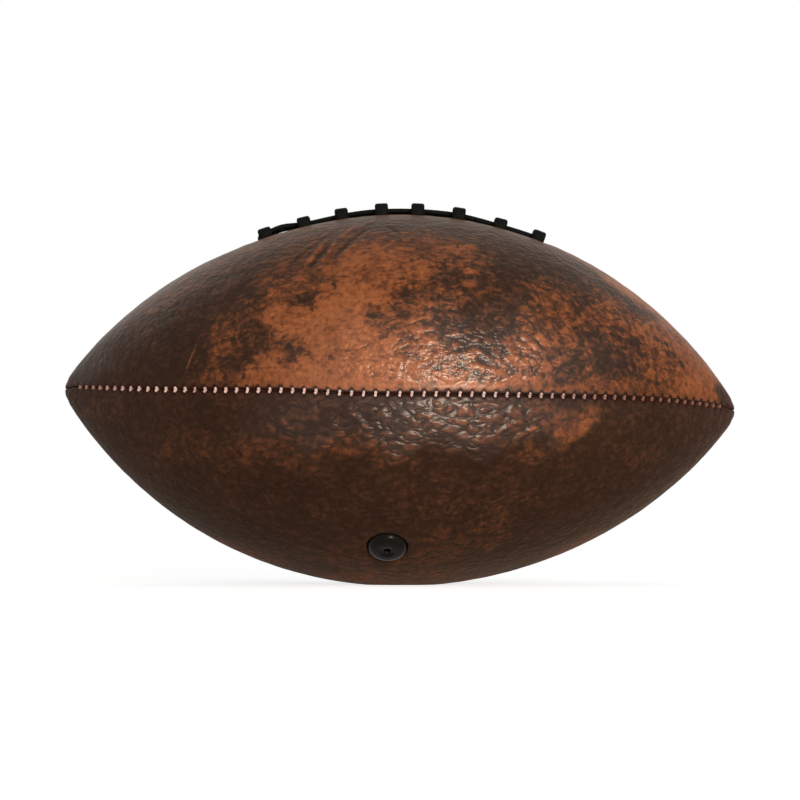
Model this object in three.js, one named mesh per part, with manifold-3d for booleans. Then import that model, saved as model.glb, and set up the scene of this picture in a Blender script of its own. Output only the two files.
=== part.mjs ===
// American football: four sewn leather panels on linings, a bladder with its valve, and a laced slit.
// Millimetres, +Z up through the laces, +X along the ball, front seam towards -Y.
// The origin is on the surface that the ball lies on, under its middle.

import * as THREE from "three";
import { mergeVertices } from "three/addons/utils/BufferGeometryUtils.js";
import Module from "manifold-3d";

const wasm = await Module();
wasm.setup();

// Outer shape
const BALL_LENGTH = 280;
const BELLY_DIAMETER = 155.3;
const POINT_RADIUS = 12;
const POINT_OFFSET = 4.4; // each sewn point sits this far off the long axis, up at -X and down at +X
const PANEL_CROWN = 1.2; // how far the middle of a panel swells past its seams
const REST_FLAT_DEPTH = 0.8; // how far the cover flattens where it lies on the ground

// Layers, from the outside in
const PANEL_THICKNESS = 2.4;
const LINING_THICKNESS = 1.2;
const FACING_THICKNESS = 1.6;
const TONGUE_THICKNESS = 1.6;
const BLADDER_THICKNESS = 1;
const CLEARANCE = 0.3;

// Seams
const SEAM_HALF_GAP = 0.2;
const EDGE_ROLL_WIDTH = 4.6;
const EDGE_ROLL_DEPTH = 3.2;
const EDGE_FOLD_THICKNESS = 2.2;
const FULL_EDGE_RADIUS = 10; // nearer the points than this radius, the rolled edges narrow
const PANEL_TIP_RADIUS = 2; // opening between the four panel tips
const LINING_TIP_RADIUS = 11;

// Seam thread
const THREAD_RADIUS = 0.32;
const STITCH_PITCH = 4.8;
const STITCH_SLANT = 0.35; // how far a stitch leans along the seam, either side of its middle
const STITCH_REACH = 0.6; // how far a stitch reaches either side of the seam
const STITCH_DEPTH = 1.15;
const STITCH_RETURN_DEPTH = 1.9;
const THREAD_TIP_RADIUS = 11;

// Lacing
const LACE_WIDTH = 5.5;
const LACE_THICKNESS = 2.1;
const LACE_EDGE_BEVEL = 0.55;
const LACE_BARS = 8;
const BAR_PITCH = 16.6;
const BAR_HOLE_OFFSET = 10.5; // from the slit to each row of holes
const STRAND_END_OFFSET = 4.4; // from the last bar to where the lengthwise strands go in
const STRAND_GAP = 1.5;
const LACE_SELF_GAP = 0.5;
const LACE_BEND_RADIUS = 1.6;
const LACE_TAIL = 15;
const LACE_TURN_RUN = 4; // straight run under the leather before the lace turns back
const FACING_HALF_LENGTH = 72;
const FACING_WIDTH = 18;
const TONGUE_HALF_LENGTH = 82;
const TONGUE_HALF_WIDTH = 19;
const SLIT_END_MARGIN = 6; // the top seam is sewn again this far past the strands' ends

// Valve
const VALVE_PLACE = -5; // along the ball from its middle
const VALVE_ANGLE = THREE.MathUtils.degToRad(51); // below the front seam
const VALVE_RADIUS = 8.2;
const VALVE_DOME_HEIGHT = 1.8;
const VALVE_FACE_RADIUS = 4.4;
const VALVE_RIM_DEPTH = 0.8;
const VALVE_FLANGE_RADIUS = 14;
const VALVE_FLANGE_THICKNESS = 1.4;
const VALVE_STEM_RADIUS = 4;
const VALVE_STEM_DEPTH = 20;
const CORE_HEAD_RADIUS = 2.7;
const CORE_HEAD_THICKNESS = 1.2;
const CORE_RADIUS = 2;
const CORE_DEPTH = 17;
const CORE_RECESS = 0.3;
const NEEDLE_RADIUS = 0.8;
const NEEDLE_FUNNEL_RADIUS = 1.3;
const NEEDLE_DEPTH = 4;

// Facets
const ARC_STEPS = 17; // odd, so that one facet lies level under the middle
const POINT_STEPS = 2;
const PANEL_STEPS = 6;
const ROLL_STEPS = 3;
const BEND_STEPS = 2;
const STRAND_STEPS = 9;
const ROUND_SIDES = 24;
const STRAIGHT_ENOUGH = 0.2; // radians: a lace corner that turns less than this isn't rounded
const WELD_DISTANCE = 1e-3;
const SMALL_STEP = 0.01; // for reading a direction off the ball's surface

// The lengthwise outline: an arc over the belly that runs into a ball nose at each point
const HALF_LENGTH = BALL_LENGTH / 2;
const BELLY_RADIUS = BELLY_DIAMETER / 2;
const NOSE_CENTRE = HALF_LENGTH - POINT_RADIUS;
const ARC_RADIUS =
  (NOSE_CENTRE ** 2 + BELLY_RADIUS ** 2 - POINT_RADIUS ** 2) / (2 * (BELLY_RADIUS - POINT_RADIUS));
const ARC_DROP = ARC_RADIUS - BELLY_RADIUS;
const NOSE_SLOPE = Math.asin(NOSE_CENTRE / (ARC_RADIUS - POINT_RADIUS));
const NOSE_START = ARC_RADIUS * NOSE_SLOPE;

// Depths of the layers below the outer surface
const LINING_TOP = PANEL_THICKNESS + CLEARANCE;
const LINING_BOTTOM = LINING_TOP + LINING_THICKNESS;
const ARC_SAG = ARC_RADIUS * (1 - Math.cos(NOSE_SLOPE / ARC_STEPS));
const PANEL_SAG = BELLY_RADIUS * (1 - Math.cos(Math.PI / 4 / PANEL_STEPS));
const FACET_SAG = ARC_SAG + PANEL_SAG; // how far a facet can lie inside the true curve
const FACING_TOP = LINING_BOTTOM + CLEARANCE + FACET_SAG;
const FACING_BOTTOM = FACING_TOP + FACING_THICKNESS;
const LACE_INSIDE = FACING_BOTTOM + CLEARANCE + FACET_SAG + LACE_THICKNESS / 2;
const TONGUE_TOP = LACE_INSIDE + LACE_THICKNESS / 2 + CLEARANCE;
const TONGUE_BOTTOM = TONGUE_TOP + TONGUE_THICKNESS;
const BLADDER_TOP = LINING_BOTTOM + CLEARANCE;
const BLADDER_DENT = TONGUE_BOTTOM + CLEARANCE - BLADDER_TOP;

// Seams as turns about the long axis, counted from the front seam over the top
const QUARTER = Math.PI / 2;
const FRONT_SEAM = 0;
const TOP_SEAM = QUARTER;
const BACK_SEAM = 2 * QUARTER;
const BOTTOM_SEAM = 3 * QUARTER;

// Radius and place along the axis of a point at a slope of the outline, below the outer surface
function outline(slope, depth) {
  const steep = Math.abs(slope) > NOSE_SLOPE;
  const radius = (steep ? POINT_RADIUS : ARC_RADIUS) - depth;
  const along = steep ? Math.sign(slope) * NOSE_CENTRE : 0;
  const drop = steep ? 0 : ARC_DROP;
  return { x: along + radius * Math.sin(slope), r: radius * Math.cos(slope) - drop };
}

// The slope of the outline at a length along the surface from the middle of the ball
function slopeAt(length) {
  const past = Math.abs(length) - NOSE_START;
  const slope = past > 0 ? NOSE_SLOPE + past / POINT_RADIUS : Math.abs(length) / ARC_RADIUS;
  return Math.sign(length) * slope;
}

// The slope at which the outer surface comes down to a radius near the points
function slopeOfRadius(radius) {
  const onNose = Math.acos(Math.min(1, radius / POINT_RADIUS));
  return onNose > NOSE_SLOPE ? onNose : Math.acos((radius + ARC_DROP) / ARC_RADIUS);
}

// A point of the ball from its slope, its turn about the axis and its depth
function spot(slope, turn, depth) {
  const { x, r } = outline(slope, depth);
  const crowned = r * (1 + (PANEL_CROWN / BELLY_RADIUS) * Math.sin(2 * turn) ** 2);
  const offset = -POINT_OFFSET * (x / HALF_LENGTH) ** 3;
  return new THREE.Vector3(x, -crowned * Math.cos(turn), crowned * Math.sin(turn) + offset);
}

// A point near the lacing slit: along the ball, across the slit and above the leather
function slitSpot(along, across, height) {
  const slope = slopeAt(along);
  return spot(slope, TOP_SEAM + across / outline(slope, 0).r, -height);
}

// Slopes of the cross-sections that a lengthwise piece is built on
function stations(tipRadius) {
  const end = slopeOfRadius(tipRadius);
  const arcEnd = Math.min(end, NOSE_SLOPE);
  const slopes = [];
  for (let i = 0; i <= ARC_STEPS; i++) {
    slopes.push(arcEnd * ((2 * i) / ARC_STEPS - 1));
  }
  const noseSteps = end > NOSE_SLOPE ? POINT_STEPS : 0;
  for (let i = 1; i <= noseSteps; i++) {
    const slope = NOSE_SLOPE + ((end - NOSE_SLOPE) * i) / noseSteps;
    slopes.push(slope);
    slopes.unshift(-slope);
  }
  return slopes;
}

// Geometry from points and triangles, turned so that its faces look outwards
function shell(points, triangles) {
  let volume = 0;
  for (const [a, b, c] of triangles) {
    volume += points[a].dot(points[b].clone().cross(points[c]));
  }
  const turned = volume < 0 ? triangles.map(([a, b, c]) => [a, c, b]) : triangles;
  const geometry = new THREE.BufferGeometry().setFromPoints(points);
  geometry.setIndex(turned.flat());
  return geometry;
}

// Triangles that fill a flat outline, turned the same way round as the outline
function filled(plan) {
  const way = Math.sign(THREE.ShapeUtils.area(plan));
  return THREE.ShapeUtils.triangulateShape(plan, []).map(([a, b, c]) => {
    const same = Math.sign(THREE.ShapeUtils.area([plan[a], plan[b], plan[c]])) === way;
    return same ? [a, b, c] : [a, c, b];
  });
}

// A solid through matching closed sections, with flat-drawn plans that say how to close each end
function loft(sections, plans) {
  const points = sections.flat();
  const count = sections[0].length;
  const triangles = [];
  for (let i = 0; i + 1 < sections.length; i++) {
    for (let j = 0; j < count; j++) {
      const a = i * count + j;
      const b = i * count + ((j + 1) % count);
      triangles.push([a, b, b + count], [a, b + count, a + count]);
    }
  }
  const last = (sections.length - 1) * count;
  for (const [a, b, c] of filled(plans[0])) {
    triangles.push([a, c, b]);
  }
  for (const [a, b, c] of filled(plans[1])) {
    triangles.push([last + a, last + b, last + c]);
  }
  return shell(points, triangles);
}

// A curved sheet of the ball's own shape from section places, given as turn and depth at each slope
function curvedSheet(slopes, placesAt) {
  const sections = slopes.map((slope) => placesAt(slope).map(({ turn, depth }) => spot(slope, turn, depth)));
  const plan = (section) => section.map(({ y, z }) => new THREE.Vector2(y, z));
  return loft(sections, [plan(sections[0]), plan(sections.at(-1))]);
}

// Turns from one seam to the next at a depth, starting a distance in from each seam
function turnsAcross(slope, depth, inset) {
  const edge = Math.asin(inset / outline(slope, depth).r);
  const turns = [];
  for (let i = 0; i <= PANEL_STEPS; i++) {
    turns.push(edge + ((QUARTER - 2 * edge) * i) / PANEL_STEPS);
  }
  return turns;
}

function edgeScale(slope) {
  return Math.min(1, outline(slope, 0).r / FULL_EDGE_RADIUS);
}

// The rolled edge of a panel, from the bottom of the seam up to the panel's face
function rolledEdge(slope) {
  const scale = edgeScale(slope);
  const places = [{ inset: SEAM_HALF_GAP, depth: LINING_BOTTOM }];
  for (let i = 0; i < ROLL_STEPS; i++) {
    const angle = (QUARTER * i) / ROLL_STEPS;
    const inset = SEAM_HALF_GAP + scale * EDGE_ROLL_WIDTH * (1 - Math.cos(angle));
    places.push({ inset, depth: scale * EDGE_ROLL_DEPTH * (1 - Math.sin(angle)) });
  }
  return places.map(({ inset, depth }) => ({ turn: Math.asin(inset / outline(slope, depth).r), depth }));
}

// Cross-section of a panel: rolled edges, outer face, folds down to the lining's inner face, inner face
function panelPlaces(firstSeam) {
  return (slope) => {
    const scale = edgeScale(slope);
    const edge = rolledEdge(slope);
    const farEdge = edge.map(({ turn, depth }) => ({ turn: QUARTER - turn, depth })).reverse();
    const face = turnsAcross(slope, 0, SEAM_HALF_GAP + scale * EDGE_ROLL_WIDTH);
    const foldInset = SEAM_HALF_GAP + scale * EDGE_FOLD_THICKNESS;
    const foldTurn = Math.asin(foldInset / outline(slope, LINING_BOTTOM).r);
    const back = turnsAcross(slope, PANEL_THICKNESS, foldInset).reverse();
    const ring = [
      ...edge,
      ...face.map((turn) => ({ turn, depth: 0 })),
      ...farEdge,
      { turn: QUARTER - foldTurn, depth: LINING_BOTTOM },
      ...back.map((turn) => ({ turn, depth: PANEL_THICKNESS })),
      { turn: foldTurn, depth: LINING_BOTTOM },
    ];
    return ring.map(({ turn, depth }) => ({ turn: firstSeam + turn, depth }));
  };
}

function liningTurns(slope, depth) {
  return turnsAcross(slope, depth, SEAM_HALF_GAP + EDGE_FOLD_THICKNESS + CLEARANCE);
}

function liningPlaces(firstSeam) {
  return (slope) => [
    ...liningTurns(slope, LINING_TOP).map((turn) => ({ turn: firstSeam + turn, depth: LINING_TOP })),
    ...liningTurns(slope, LINING_BOTTOM)
      .reverse()
      .map((turn) => ({ turn: firstSeam + turn, depth: LINING_BOTTOM })),
  ];
}

// A strip beside or under the slit, between two distances across it
function slitStrip(halfLength, acrossPlaces, top, bottom) {
  const slopes = [];
  for (let i = 0; i <= ARC_STEPS; i++) {
    slopes.push(slopeAt(halfLength * ((2 * i) / ARC_STEPS - 1)));
  }
  return curvedSheet(slopes, (slope) => {
    const turns = acrossPlaces.map((across) => TOP_SEAM + across / outline(slope, 0).r);
    return [
      ...turns.map((turn) => ({ turn, depth: top })),
      ...turns.reverse().map((turn) => ({ turn, depth: bottom })),
    ];
  });
}

function facing(side) {
  const inner = side * (SEAM_HALF_GAP + CLEARANCE);
  const outer = side * FACING_WIDTH;
  const places = [inner, (inner + outer) / 2, outer];
  return slitStrip(FACING_HALF_LENGTH, places, FACING_TOP, FACING_BOTTOM);
}

function tongue() {
  const places = [-TONGUE_HALF_WIDTH, -TONGUE_HALF_WIDTH / 2, 0, TONGUE_HALF_WIDTH / 2, TONGUE_HALF_WIDTH];
  return slitStrip(TONGUE_HALF_LENGTH, places, TONGUE_TOP, TONGUE_BOTTOM);
}

// How much of its full dent the bladder has: all of it under the tongue and one facet past its edges
function dentShare(slope, turn) {
  const radius = outline(slope, 0).r;
  const facetLength = (2 * NOSE_START) / ARC_STEPS;
  const facetWidth = (radius * QUARTER) / PANEL_STEPS;
  const across = Math.abs(Math.atan2(Math.sin(turn - TOP_SEAM), Math.cos(turn - TOP_SEAM))) * radius;
  const along = Math.abs(slope) * ARC_RADIUS;
  const pastSide = (across - TONGUE_HALF_WIDTH) / facetWidth - 1;
  const pastEnd = (along - TONGUE_HALF_LENGTH) / facetLength - 1;
  return THREE.MathUtils.clamp(1 - Math.max(pastSide, pastEnd), 0, 1);
}

// One closed surface of the bladder, at a depth, drawn in under the lacing
function bladderSurface(depth) {
  const slopes = stations(LINING_TIP_RADIUS);
  const rings = slopes.map((slope) => {
    const quarter = liningTurns(slope, LINING_BOTTOM).slice(1, -1);
    const turns = [0, 1, 2, 3].flatMap((k) => [k * QUARTER, ...quarter.map((turn) => k * QUARTER + turn)]);
    return turns.map((turn) => spot(slope, turn, depth + BLADDER_DENT * dentShare(slope, turn)));
  });
  const count = rings[0].length;
  const points = [...rings.flat(), spot(-QUARTER, 0, depth), spot(QUARTER, 0, depth)];
  const last = (rings.length - 1) * count;
  const triangles = [];
  for (let j = 0; j < count; j++) {
    const next = (j + 1) % count;
    for (let i = 0; i < last; i += count) {
      triangles.push([i + j, i + next, i + next + count], [i + j, i + next + count, i + j + count]);
    }
    triangles.push([points.length - 2, next, j], [points.length - 1, last + j, last + next]);
  }
  return shell(points, triangles);
}

// A tube through points, with a section drawn along given width directions
function tube(points, widths, section) {
  const rings = points.map((point, i) => {
    const before = points[Math.max(i - 1, 0)];
    const after = points[Math.min(i + 1, points.length - 1)];
    const heading = after.clone().sub(before).normalize();
    const side = widths[i].clone().addScaledVector(heading, -widths[i].dot(heading)).normalize();
    const up = heading.clone().cross(side);
    return section.map(([w, t]) => point.clone().addScaledVector(side, w).addScaledVector(up, t));
  });
  const plan = section.map(([w, t]) => new THREE.Vector2(w, t));
  return { geometry: loft(rings, [plan, plan]), rings };
}

// Stitches along a seam between two lengths from the middle: over the groove, then back down its centre
function seamThread(seam, from, to) {
  const stitches = Math.round((to - from) / STITCH_PITCH);
  const pitch = (to - from) / stitches;
  const points = [];
  const place = (length, reach, depth) => {
    const slope = slopeAt(length);
    points.push(spot(slope, seam + Math.asin(reach / outline(slope, depth).r), depth));
  };
  for (let i = 0; i < stitches; i++) {
    const middle = from + pitch * (i + 0.5);
    place(middle - STITCH_SLANT, -STITCH_REACH, STITCH_DEPTH);
    place(middle + STITCH_SLANT, STITCH_REACH, STITCH_DEPTH);
    place(middle + pitch / 2, 0, STITCH_RETURN_DEPTH);
  }
  const outwards = new THREE.Vector3(0, -Math.cos(seam), Math.sin(seam));
  const section = [0, 1, 2].map((k) => {
    const angle = (k * 2 * Math.PI) / 3;
    return [THREAD_RADIUS * Math.cos(angle), THREAD_RADIUS * Math.sin(angle)];
  });
  return tube(points, points.map(() => outwards), section).geometry;
}

// Lacing places along and across the slit, and heights of the lace's middle over the leather
const FIRST_BAR = (-BAR_PITCH * (LACE_BARS - 1)) / 2;
const STRAND_END = -FIRST_BAR + STRAND_END_OFFSET;
const STRAND_OFFSET = (LACE_WIDTH + STRAND_GAP) / 2;
const STRAND_HEIGHT = CLEARANCE + LACE_THICKNESS / 2;
const BAR_HEIGHT = STRAND_HEIGHT + LACE_THICKNESS + LACE_SELF_GAP;
const BARS = Array.from({ length: LACE_BARS }, (_, i) => FIRST_BAR + i * BAR_PITCH);

// The lace's corners in order, each with its place and the direction of its width
function laceCorners() {
  const inside = -LACE_INSIDE;
  const corners = [];
  const corner = (along, across, height, width) => {
    corners.push({ place: new THREE.Vector3(along, across, height), width: new THREE.Vector3(...width, 0) });
  };
  const strand = (from, to, across, width) => {
    corner(from, across, inside, width);
    for (let i = 0; i <= STRAND_STEPS; i++) {
      corner(from + ((to - from) * i) / STRAND_STEPS, across, STRAND_HEIGHT, width);
    }
    corner(to, across, inside, width);
  };
  corner(-STRAND_END - LACE_TAIL, -STRAND_OFFSET, inside, [0, 1]);
  strand(-STRAND_END, STRAND_END, -STRAND_OFFSET, [0, 1]);
  const turnSteps = 2 * BEND_STEPS;
  for (let i = 0; i <= turnSteps; i++) {
    const angle = (Math.PI * i) / turnSteps;
    const along = STRAND_END + LACE_TURN_RUN + STRAND_OFFSET * Math.sin(angle);
    corner(along, -STRAND_OFFSET * Math.cos(angle), inside, [-Math.sin(angle), Math.cos(angle)]);
  }
  strand(STRAND_END, -STRAND_END, STRAND_OFFSET, [0, -1]);
  for (const bar of BARS) {
    corner(bar, BAR_HOLE_OFFSET, inside, [1, 0]);
    corner(bar, BAR_HOLE_OFFSET, BAR_HEIGHT, [1, 0]);
    corner(bar, 0, BAR_HEIGHT, [1, 0]);
    corner(bar, -BAR_HOLE_OFFSET, BAR_HEIGHT, [1, 0]);
    corner(bar, -BAR_HOLE_OFFSET, inside, [1, 0]);
    if (bar !== BARS.at(-1)) {
      corner(bar + BAR_PITCH / 2, 0, inside, [2 * BAR_HOLE_OFFSET, -BAR_PITCH]);
    }
  }
  corner(BARS.at(-1), 0, inside, [1, 0]);
  return corners;
}

// Rounds each corner with an arc that touches both of its runs
function roundedPath(corners) {
  const path = [corners[0]];
  for (let i = 1; i + 1 < corners.length; i++) {
    const { place, width } = corners[i];
    const back = corners[i - 1].place.clone().sub(place);
    const ahead = corners[i + 1].place.clone().sub(place);
    const half = back.angleTo(ahead) / 2;
    const reach = Math.min(LACE_BEND_RADIUS / Math.tan(half), back.length() / 2, ahead.length() / 2);
    if (Math.PI - 2 * half < STRAIGHT_ENOUGH) {
      path.push(corners[i]);
      continue;
    }
    const start = place.clone().addScaledVector(back.normalize(), reach);
    const end = place.clone().addScaledVector(ahead.normalize(), reach);
    for (let k = 0; k <= BEND_STEPS; k++) {
      const t = k / BEND_STEPS;
      const onStart = start.clone().lerp(place, t);
      const onEnd = place.clone().lerp(end, t);
      path.push({ place: onStart.lerp(onEnd, t), width });
    }
  }
  path.push(corners.at(-1));
  return path;
}

// The least distance between stretches of a tube that aren't neighbours along it
function leastSelfGap(rings, middles, nearLength) {
  let travelled = 0;
  const travel = middles.map((point, i) => (travelled += i ? point.distanceTo(middles[i - 1]) : 0));
  let least = Infinity;
  for (let i = 0; i < rings.length; i++) {
    for (let j = i + 1; j < rings.length; j++) {
      if (travel[j] - travel[i] < nearLength || middles[i].distanceTo(middles[j]) > nearLength) continue;
      for (const a of rings[i]) {
        for (const b of rings[j]) {
          least = Math.min(least, a.distanceTo(b));
        }
      }
    }
  }
  return { least, length: travelled };
}

function lace() {
  const path = roundedPath(laceCorners());
  const points = path.map(({ place }) => slitSpot(place.x, place.y, place.z));
  const widths = path.map(({ place, width }, i) => {
    const aside = place.clone().addScaledVector(width.clone().normalize(), SMALL_STEP);
    return slitSpot(aside.x, aside.y, aside.z).sub(points[i]).normalize();
  });
  const w = LACE_WIDTH / 2;
  const t = LACE_THICKNESS / 2;
  const flat = w - LACE_EDGE_BEVEL;
  const made = tube(points, widths, [[w, 0], [flat, t], [-flat, t], [-w, 0], [-flat, -t], [flat, -t]]);
  const { least, length } = leastSelfGap(made.rings, points, 2 * (LACE_WIDTH + LACE_BEND_RADIUS));
  console.log(`lace length ${length.toFixed(0)} mm, least gap to itself ${least.toFixed(2)} mm`);
  return made.geometry;
}

// Solid operations
function weld(geometry) {
  const bare = geometry.clone();
  bare.deleteAttribute("normal");
  bare.deleteAttribute("uv");
  return mergeVertices(bare, WELD_DISTANCE);
}

function solid(geometry) {
  const welded = weld(geometry);
  const triVerts = new Uint32Array(welded.index.array);
  const vertProperties = new Float32Array(welded.attributes.position.array);
  return new wasm.Manifold(new wasm.Mesh({ numProp: 3, vertProperties, triVerts }));
}

function geometryOf(body) {
  const mesh = body.getMesh();
  const geometry = new THREE.BufferGeometry();
  geometry.setAttribute("position", new THREE.BufferAttribute(new Float32Array(mesh.vertProperties), 3));
  geometry.setIndex(new THREE.BufferAttribute(new Uint32Array(mesh.triVerts), 1));
  return geometry;
}

function cut(geometry, tools) {
  return geometryOf(tools.reduce((body, tool) => body.subtract(solid(tool)), solid(geometry)));
}

// A frame on the outer surface: X along the ball, Z out of it
function surfaceFrame(slope, turn) {
  const origin = spot(slope, turn, 0);
  const out = spot(slope, turn, -1).sub(origin).normalize();
  const around = spot(slope, turn + SMALL_STEP / BELLY_RADIUS, 0).sub(origin).normalize();
  const along = around.clone().cross(out).normalize();
  return new THREE.Matrix4().makeBasis(along, out.clone().cross(along), out).setPosition(origin);
}

// The slots that one side's upper layers are punched with
function laceSlots(side) {
  const long = LACE_WIDTH + 2 * CLEARANCE;
  const short = LACE_THICKNESS + 2 * CLEARANCE;
  const strandReach = STRAND_OFFSET + long / 2;
  const depth = 2 * LACE_INSIDE;
  const slot = (along, across, sizeAlong, sizeAcross) => {
    const slope = slopeAt(along);
    const turn = TOP_SEAM + (side * across) / outline(slope, 0).r;
    return new THREE.BoxGeometry(sizeAlong, sizeAcross, depth).applyMatrix4(surfaceFrame(slope, turn));
  };
  return [
    ...BARS.map((bar) => slot(bar, BAR_HOLE_OFFSET, long, short)),
    ...[-1, 1].map((end) => slot(end * STRAND_END, strandReach / 2, short, strandReach)),
  ];
}

// Valve, about its own axis with height 0 at the leather's face
const VALVE_FRAME = surfaceFrame(slopeAt(VALVE_PLACE), FRONT_SEAM - VALVE_ANGLE);
const VALVE_HOLE_RADIUS = VALVE_RADIUS + CLEARANCE;
const BLADDER_INSIDE = BLADDER_TOP + BLADDER_THICKNESS;
const VALVE_BORE = CORE_RADIUS + CLEARANCE;
const CORE_SEAT = CORE_HEAD_RADIUS + CLEARANCE;
const CORE_TOP = VALVE_DOME_HEIGHT - CORE_RECESS;
const CORE_SHOULDER = CORE_TOP - CORE_HEAD_THICKNESS;

function onValveAxis(profile) {
  const points = profile.map(([radius, height]) => new THREE.Vector2(radius, height));
  const lathe = new THREE.LatheGeometry(points, ROUND_SIDES);
  lathe.rotateX(QUARTER);
  return weld(lathe).applyMatrix4(VALVE_FRAME);
}

function valveHole() {
  const reach = 2 * VALVE_STEM_DEPTH;
  const hole = new THREE.CylinderGeometry(VALVE_HOLE_RADIUS, VALVE_HOLE_RADIUS, reach, ROUND_SIDES);
  return hole.rotateX(QUARTER).applyMatrix4(VALVE_FRAME);
}

// How far the bladder's inner face falls away at a distance from the valve's axis
function bladderFall(radius) {
  const inner = BELLY_RADIUS - BLADDER_INSIDE;
  return inner - Math.sqrt(inner ** 2 - radius ** 2) + FACET_SAG;
}

function valveBody() {
  const neck = -BLADDER_INSIDE - CLEARANCE - bladderFall(VALVE_RADIUS);
  const flangeTop = -BLADDER_INSIDE - CLEARANCE - bladderFall(VALVE_FLANGE_RADIUS);
  const flangeBottom = flangeTop - VALVE_FLANGE_THICKNESS;
  const shoulder = (VALVE_FACE_RADIUS + 2 * VALVE_RADIUS) / 3;
  return onValveAxis([
    [VALVE_BORE, -VALVE_STEM_DEPTH],
    [VALVE_STEM_RADIUS, -VALVE_STEM_DEPTH],
    [VALVE_STEM_RADIUS, flangeBottom],
    [VALVE_FLANGE_RADIUS, flangeBottom],
    [VALVE_FLANGE_RADIUS, flangeTop],
    [VALVE_RADIUS, neck],
    [VALVE_RADIUS, -VALVE_RIM_DEPTH],
    [shoulder, VALVE_DOME_HEIGHT / 2],
    [VALVE_FACE_RADIUS, VALVE_DOME_HEIGHT],
    [CORE_SEAT, VALVE_DOME_HEIGHT],
    [CORE_SEAT, CORE_SHOULDER - CLEARANCE],
    [VALVE_BORE, CORE_SHOULDER - CLEARANCE],
    [VALVE_BORE, -VALVE_STEM_DEPTH],
  ]);
}

function valveCore() {
  return onValveAxis([
    [0, -CORE_DEPTH],
    [CORE_RADIUS / 2, -CORE_DEPTH],
    [CORE_RADIUS, CORE_RADIUS / 2 - CORE_DEPTH],
    [CORE_RADIUS, CORE_SHOULDER],
    [CORE_HEAD_RADIUS, CORE_SHOULDER],
    [CORE_HEAD_RADIUS, CORE_TOP],
    [NEEDLE_FUNNEL_RADIUS, CORE_TOP],
    [NEEDLE_RADIUS, CORE_TOP - NEEDLE_FUNNEL_RADIUS],
    [NEEDLE_RADIUS, CORE_TOP - NEEDLE_DEPTH],
    [0, CORE_TOP - NEEDLE_DEPTH],
  ]);
}

// What is cut away below the ground's plane
function ground() {
  const block = new THREE.BoxGeometry(BALL_LENGTH, BELLY_DIAMETER, BELLY_RADIUS);
  const middle = -BELLY_RADIUS + REST_FLAT_DEPTH - BELLY_RADIUS / 2;
  return block.translate(0, 0, middle);
}

// Materials
const leather = new THREE.MeshStandardMaterial({ color: 0x7a4527, roughness: 0.45, metalness: 0 });
const canvas = new THREE.MeshStandardMaterial({ color: 0xb9ad93, roughness: 0.9, metalness: 0 });
const thread = new THREE.MeshStandardMaterial({ color: 0xd9a98c, roughness: 0.7, metalness: 0 });
const laceStrip = new THREE.MeshStandardMaterial({ color: 0x1b1a1b, roughness: 0.55, metalness: 0 });
const rubber = new THREE.MeshStandardMaterial({ color: 0x141414, roughness: 0.5, metalness: 0 });
const bladderRubber = new THREE.MeshStandardMaterial({ color: 0x2a2624, roughness: 0.6, metalness: 0 });

const ball = new THREE.Group();

function add(name, geometry, material) {
  geometry.computeVertexNormals();
  const mesh = new THREE.Mesh(geometry, material);
  mesh.name = name;
  ball.add(mesh);
}

const panelSlopes = stations(PANEL_TIP_RADIUS);
const liningSlopes = stations(LINING_TIP_RADIUS);
const quarters = [
  { name: "front_upper", seam: FRONT_SEAM, cuts: laceSlots(-1), panelCuts: [] },
  { name: "back_upper", seam: TOP_SEAM, cuts: laceSlots(1), panelCuts: [] },
  { name: "back_lower", seam: BACK_SEAM, cuts: [], panelCuts: [ground()] },
  { name: "front_lower", seam: BOTTOM_SEAM, cuts: [valveHole()], panelCuts: [ground()] },
];
for (const { name, seam, cuts, panelCuts } of quarters) {
  const panel = curvedSheet(panelSlopes, panelPlaces(seam));
  add(`panel_${name}`, cut(panel, [...cuts, ...panelCuts]), leather);
  const lining = curvedSheet(liningSlopes, liningPlaces(seam));
  add(`lining_${name}`, cut(lining, cuts), canvas);
}

add("lace_facing_front", cut(facing(-1), laceSlots(-1)), leather);
add("lace_facing_back", cut(facing(1), laceSlots(1)), leather);
add("lace_tongue", tongue(), leather);
add("lace", lace(), laceStrip);

const threadEnd = ARC_RADIUS * slopeOfRadius(THREAD_TIP_RADIUS);
const slitEnd = STRAND_END + SLIT_END_MARGIN;
add("seam_thread_front", seamThread(FRONT_SEAM, -threadEnd, threadEnd), thread);
add("seam_thread_back", seamThread(BACK_SEAM, -threadEnd, threadEnd), thread);
add("seam_thread_bottom", seamThread(BOTTOM_SEAM, -threadEnd, threadEnd), thread);
add("seam_thread_top_left", seamThread(TOP_SEAM, -threadEnd, -slitEnd), thread);
add("seam_thread_top_right", seamThread(TOP_SEAM, slitEnd, threadEnd), thread);

const bladderShell = solid(bladderSurface(BLADDER_TOP)).subtract(solid(bladderSurface(BLADDER_INSIDE)));
add("bladder", geometryOf(bladderShell.subtract(solid(valveHole()))), bladderRubber);
add("valve_body", valveBody(), rubber);
add("valve_core", valveCore(), rubber);

// The ball lies on its flattened patch
ball.position.z = BELLY_RADIUS - REST_FLAT_DEPTH;

const group = new THREE.Group();
group.add(ball);

export default group;
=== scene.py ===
# American football: leather panels, sewn seams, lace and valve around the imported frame.
# Lengths are millimetres until a mesh is made. +X runs along the ball, +Z up through the laces.

import math

import bmesh
import bpy
import numpy as np
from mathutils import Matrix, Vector, noise

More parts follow.
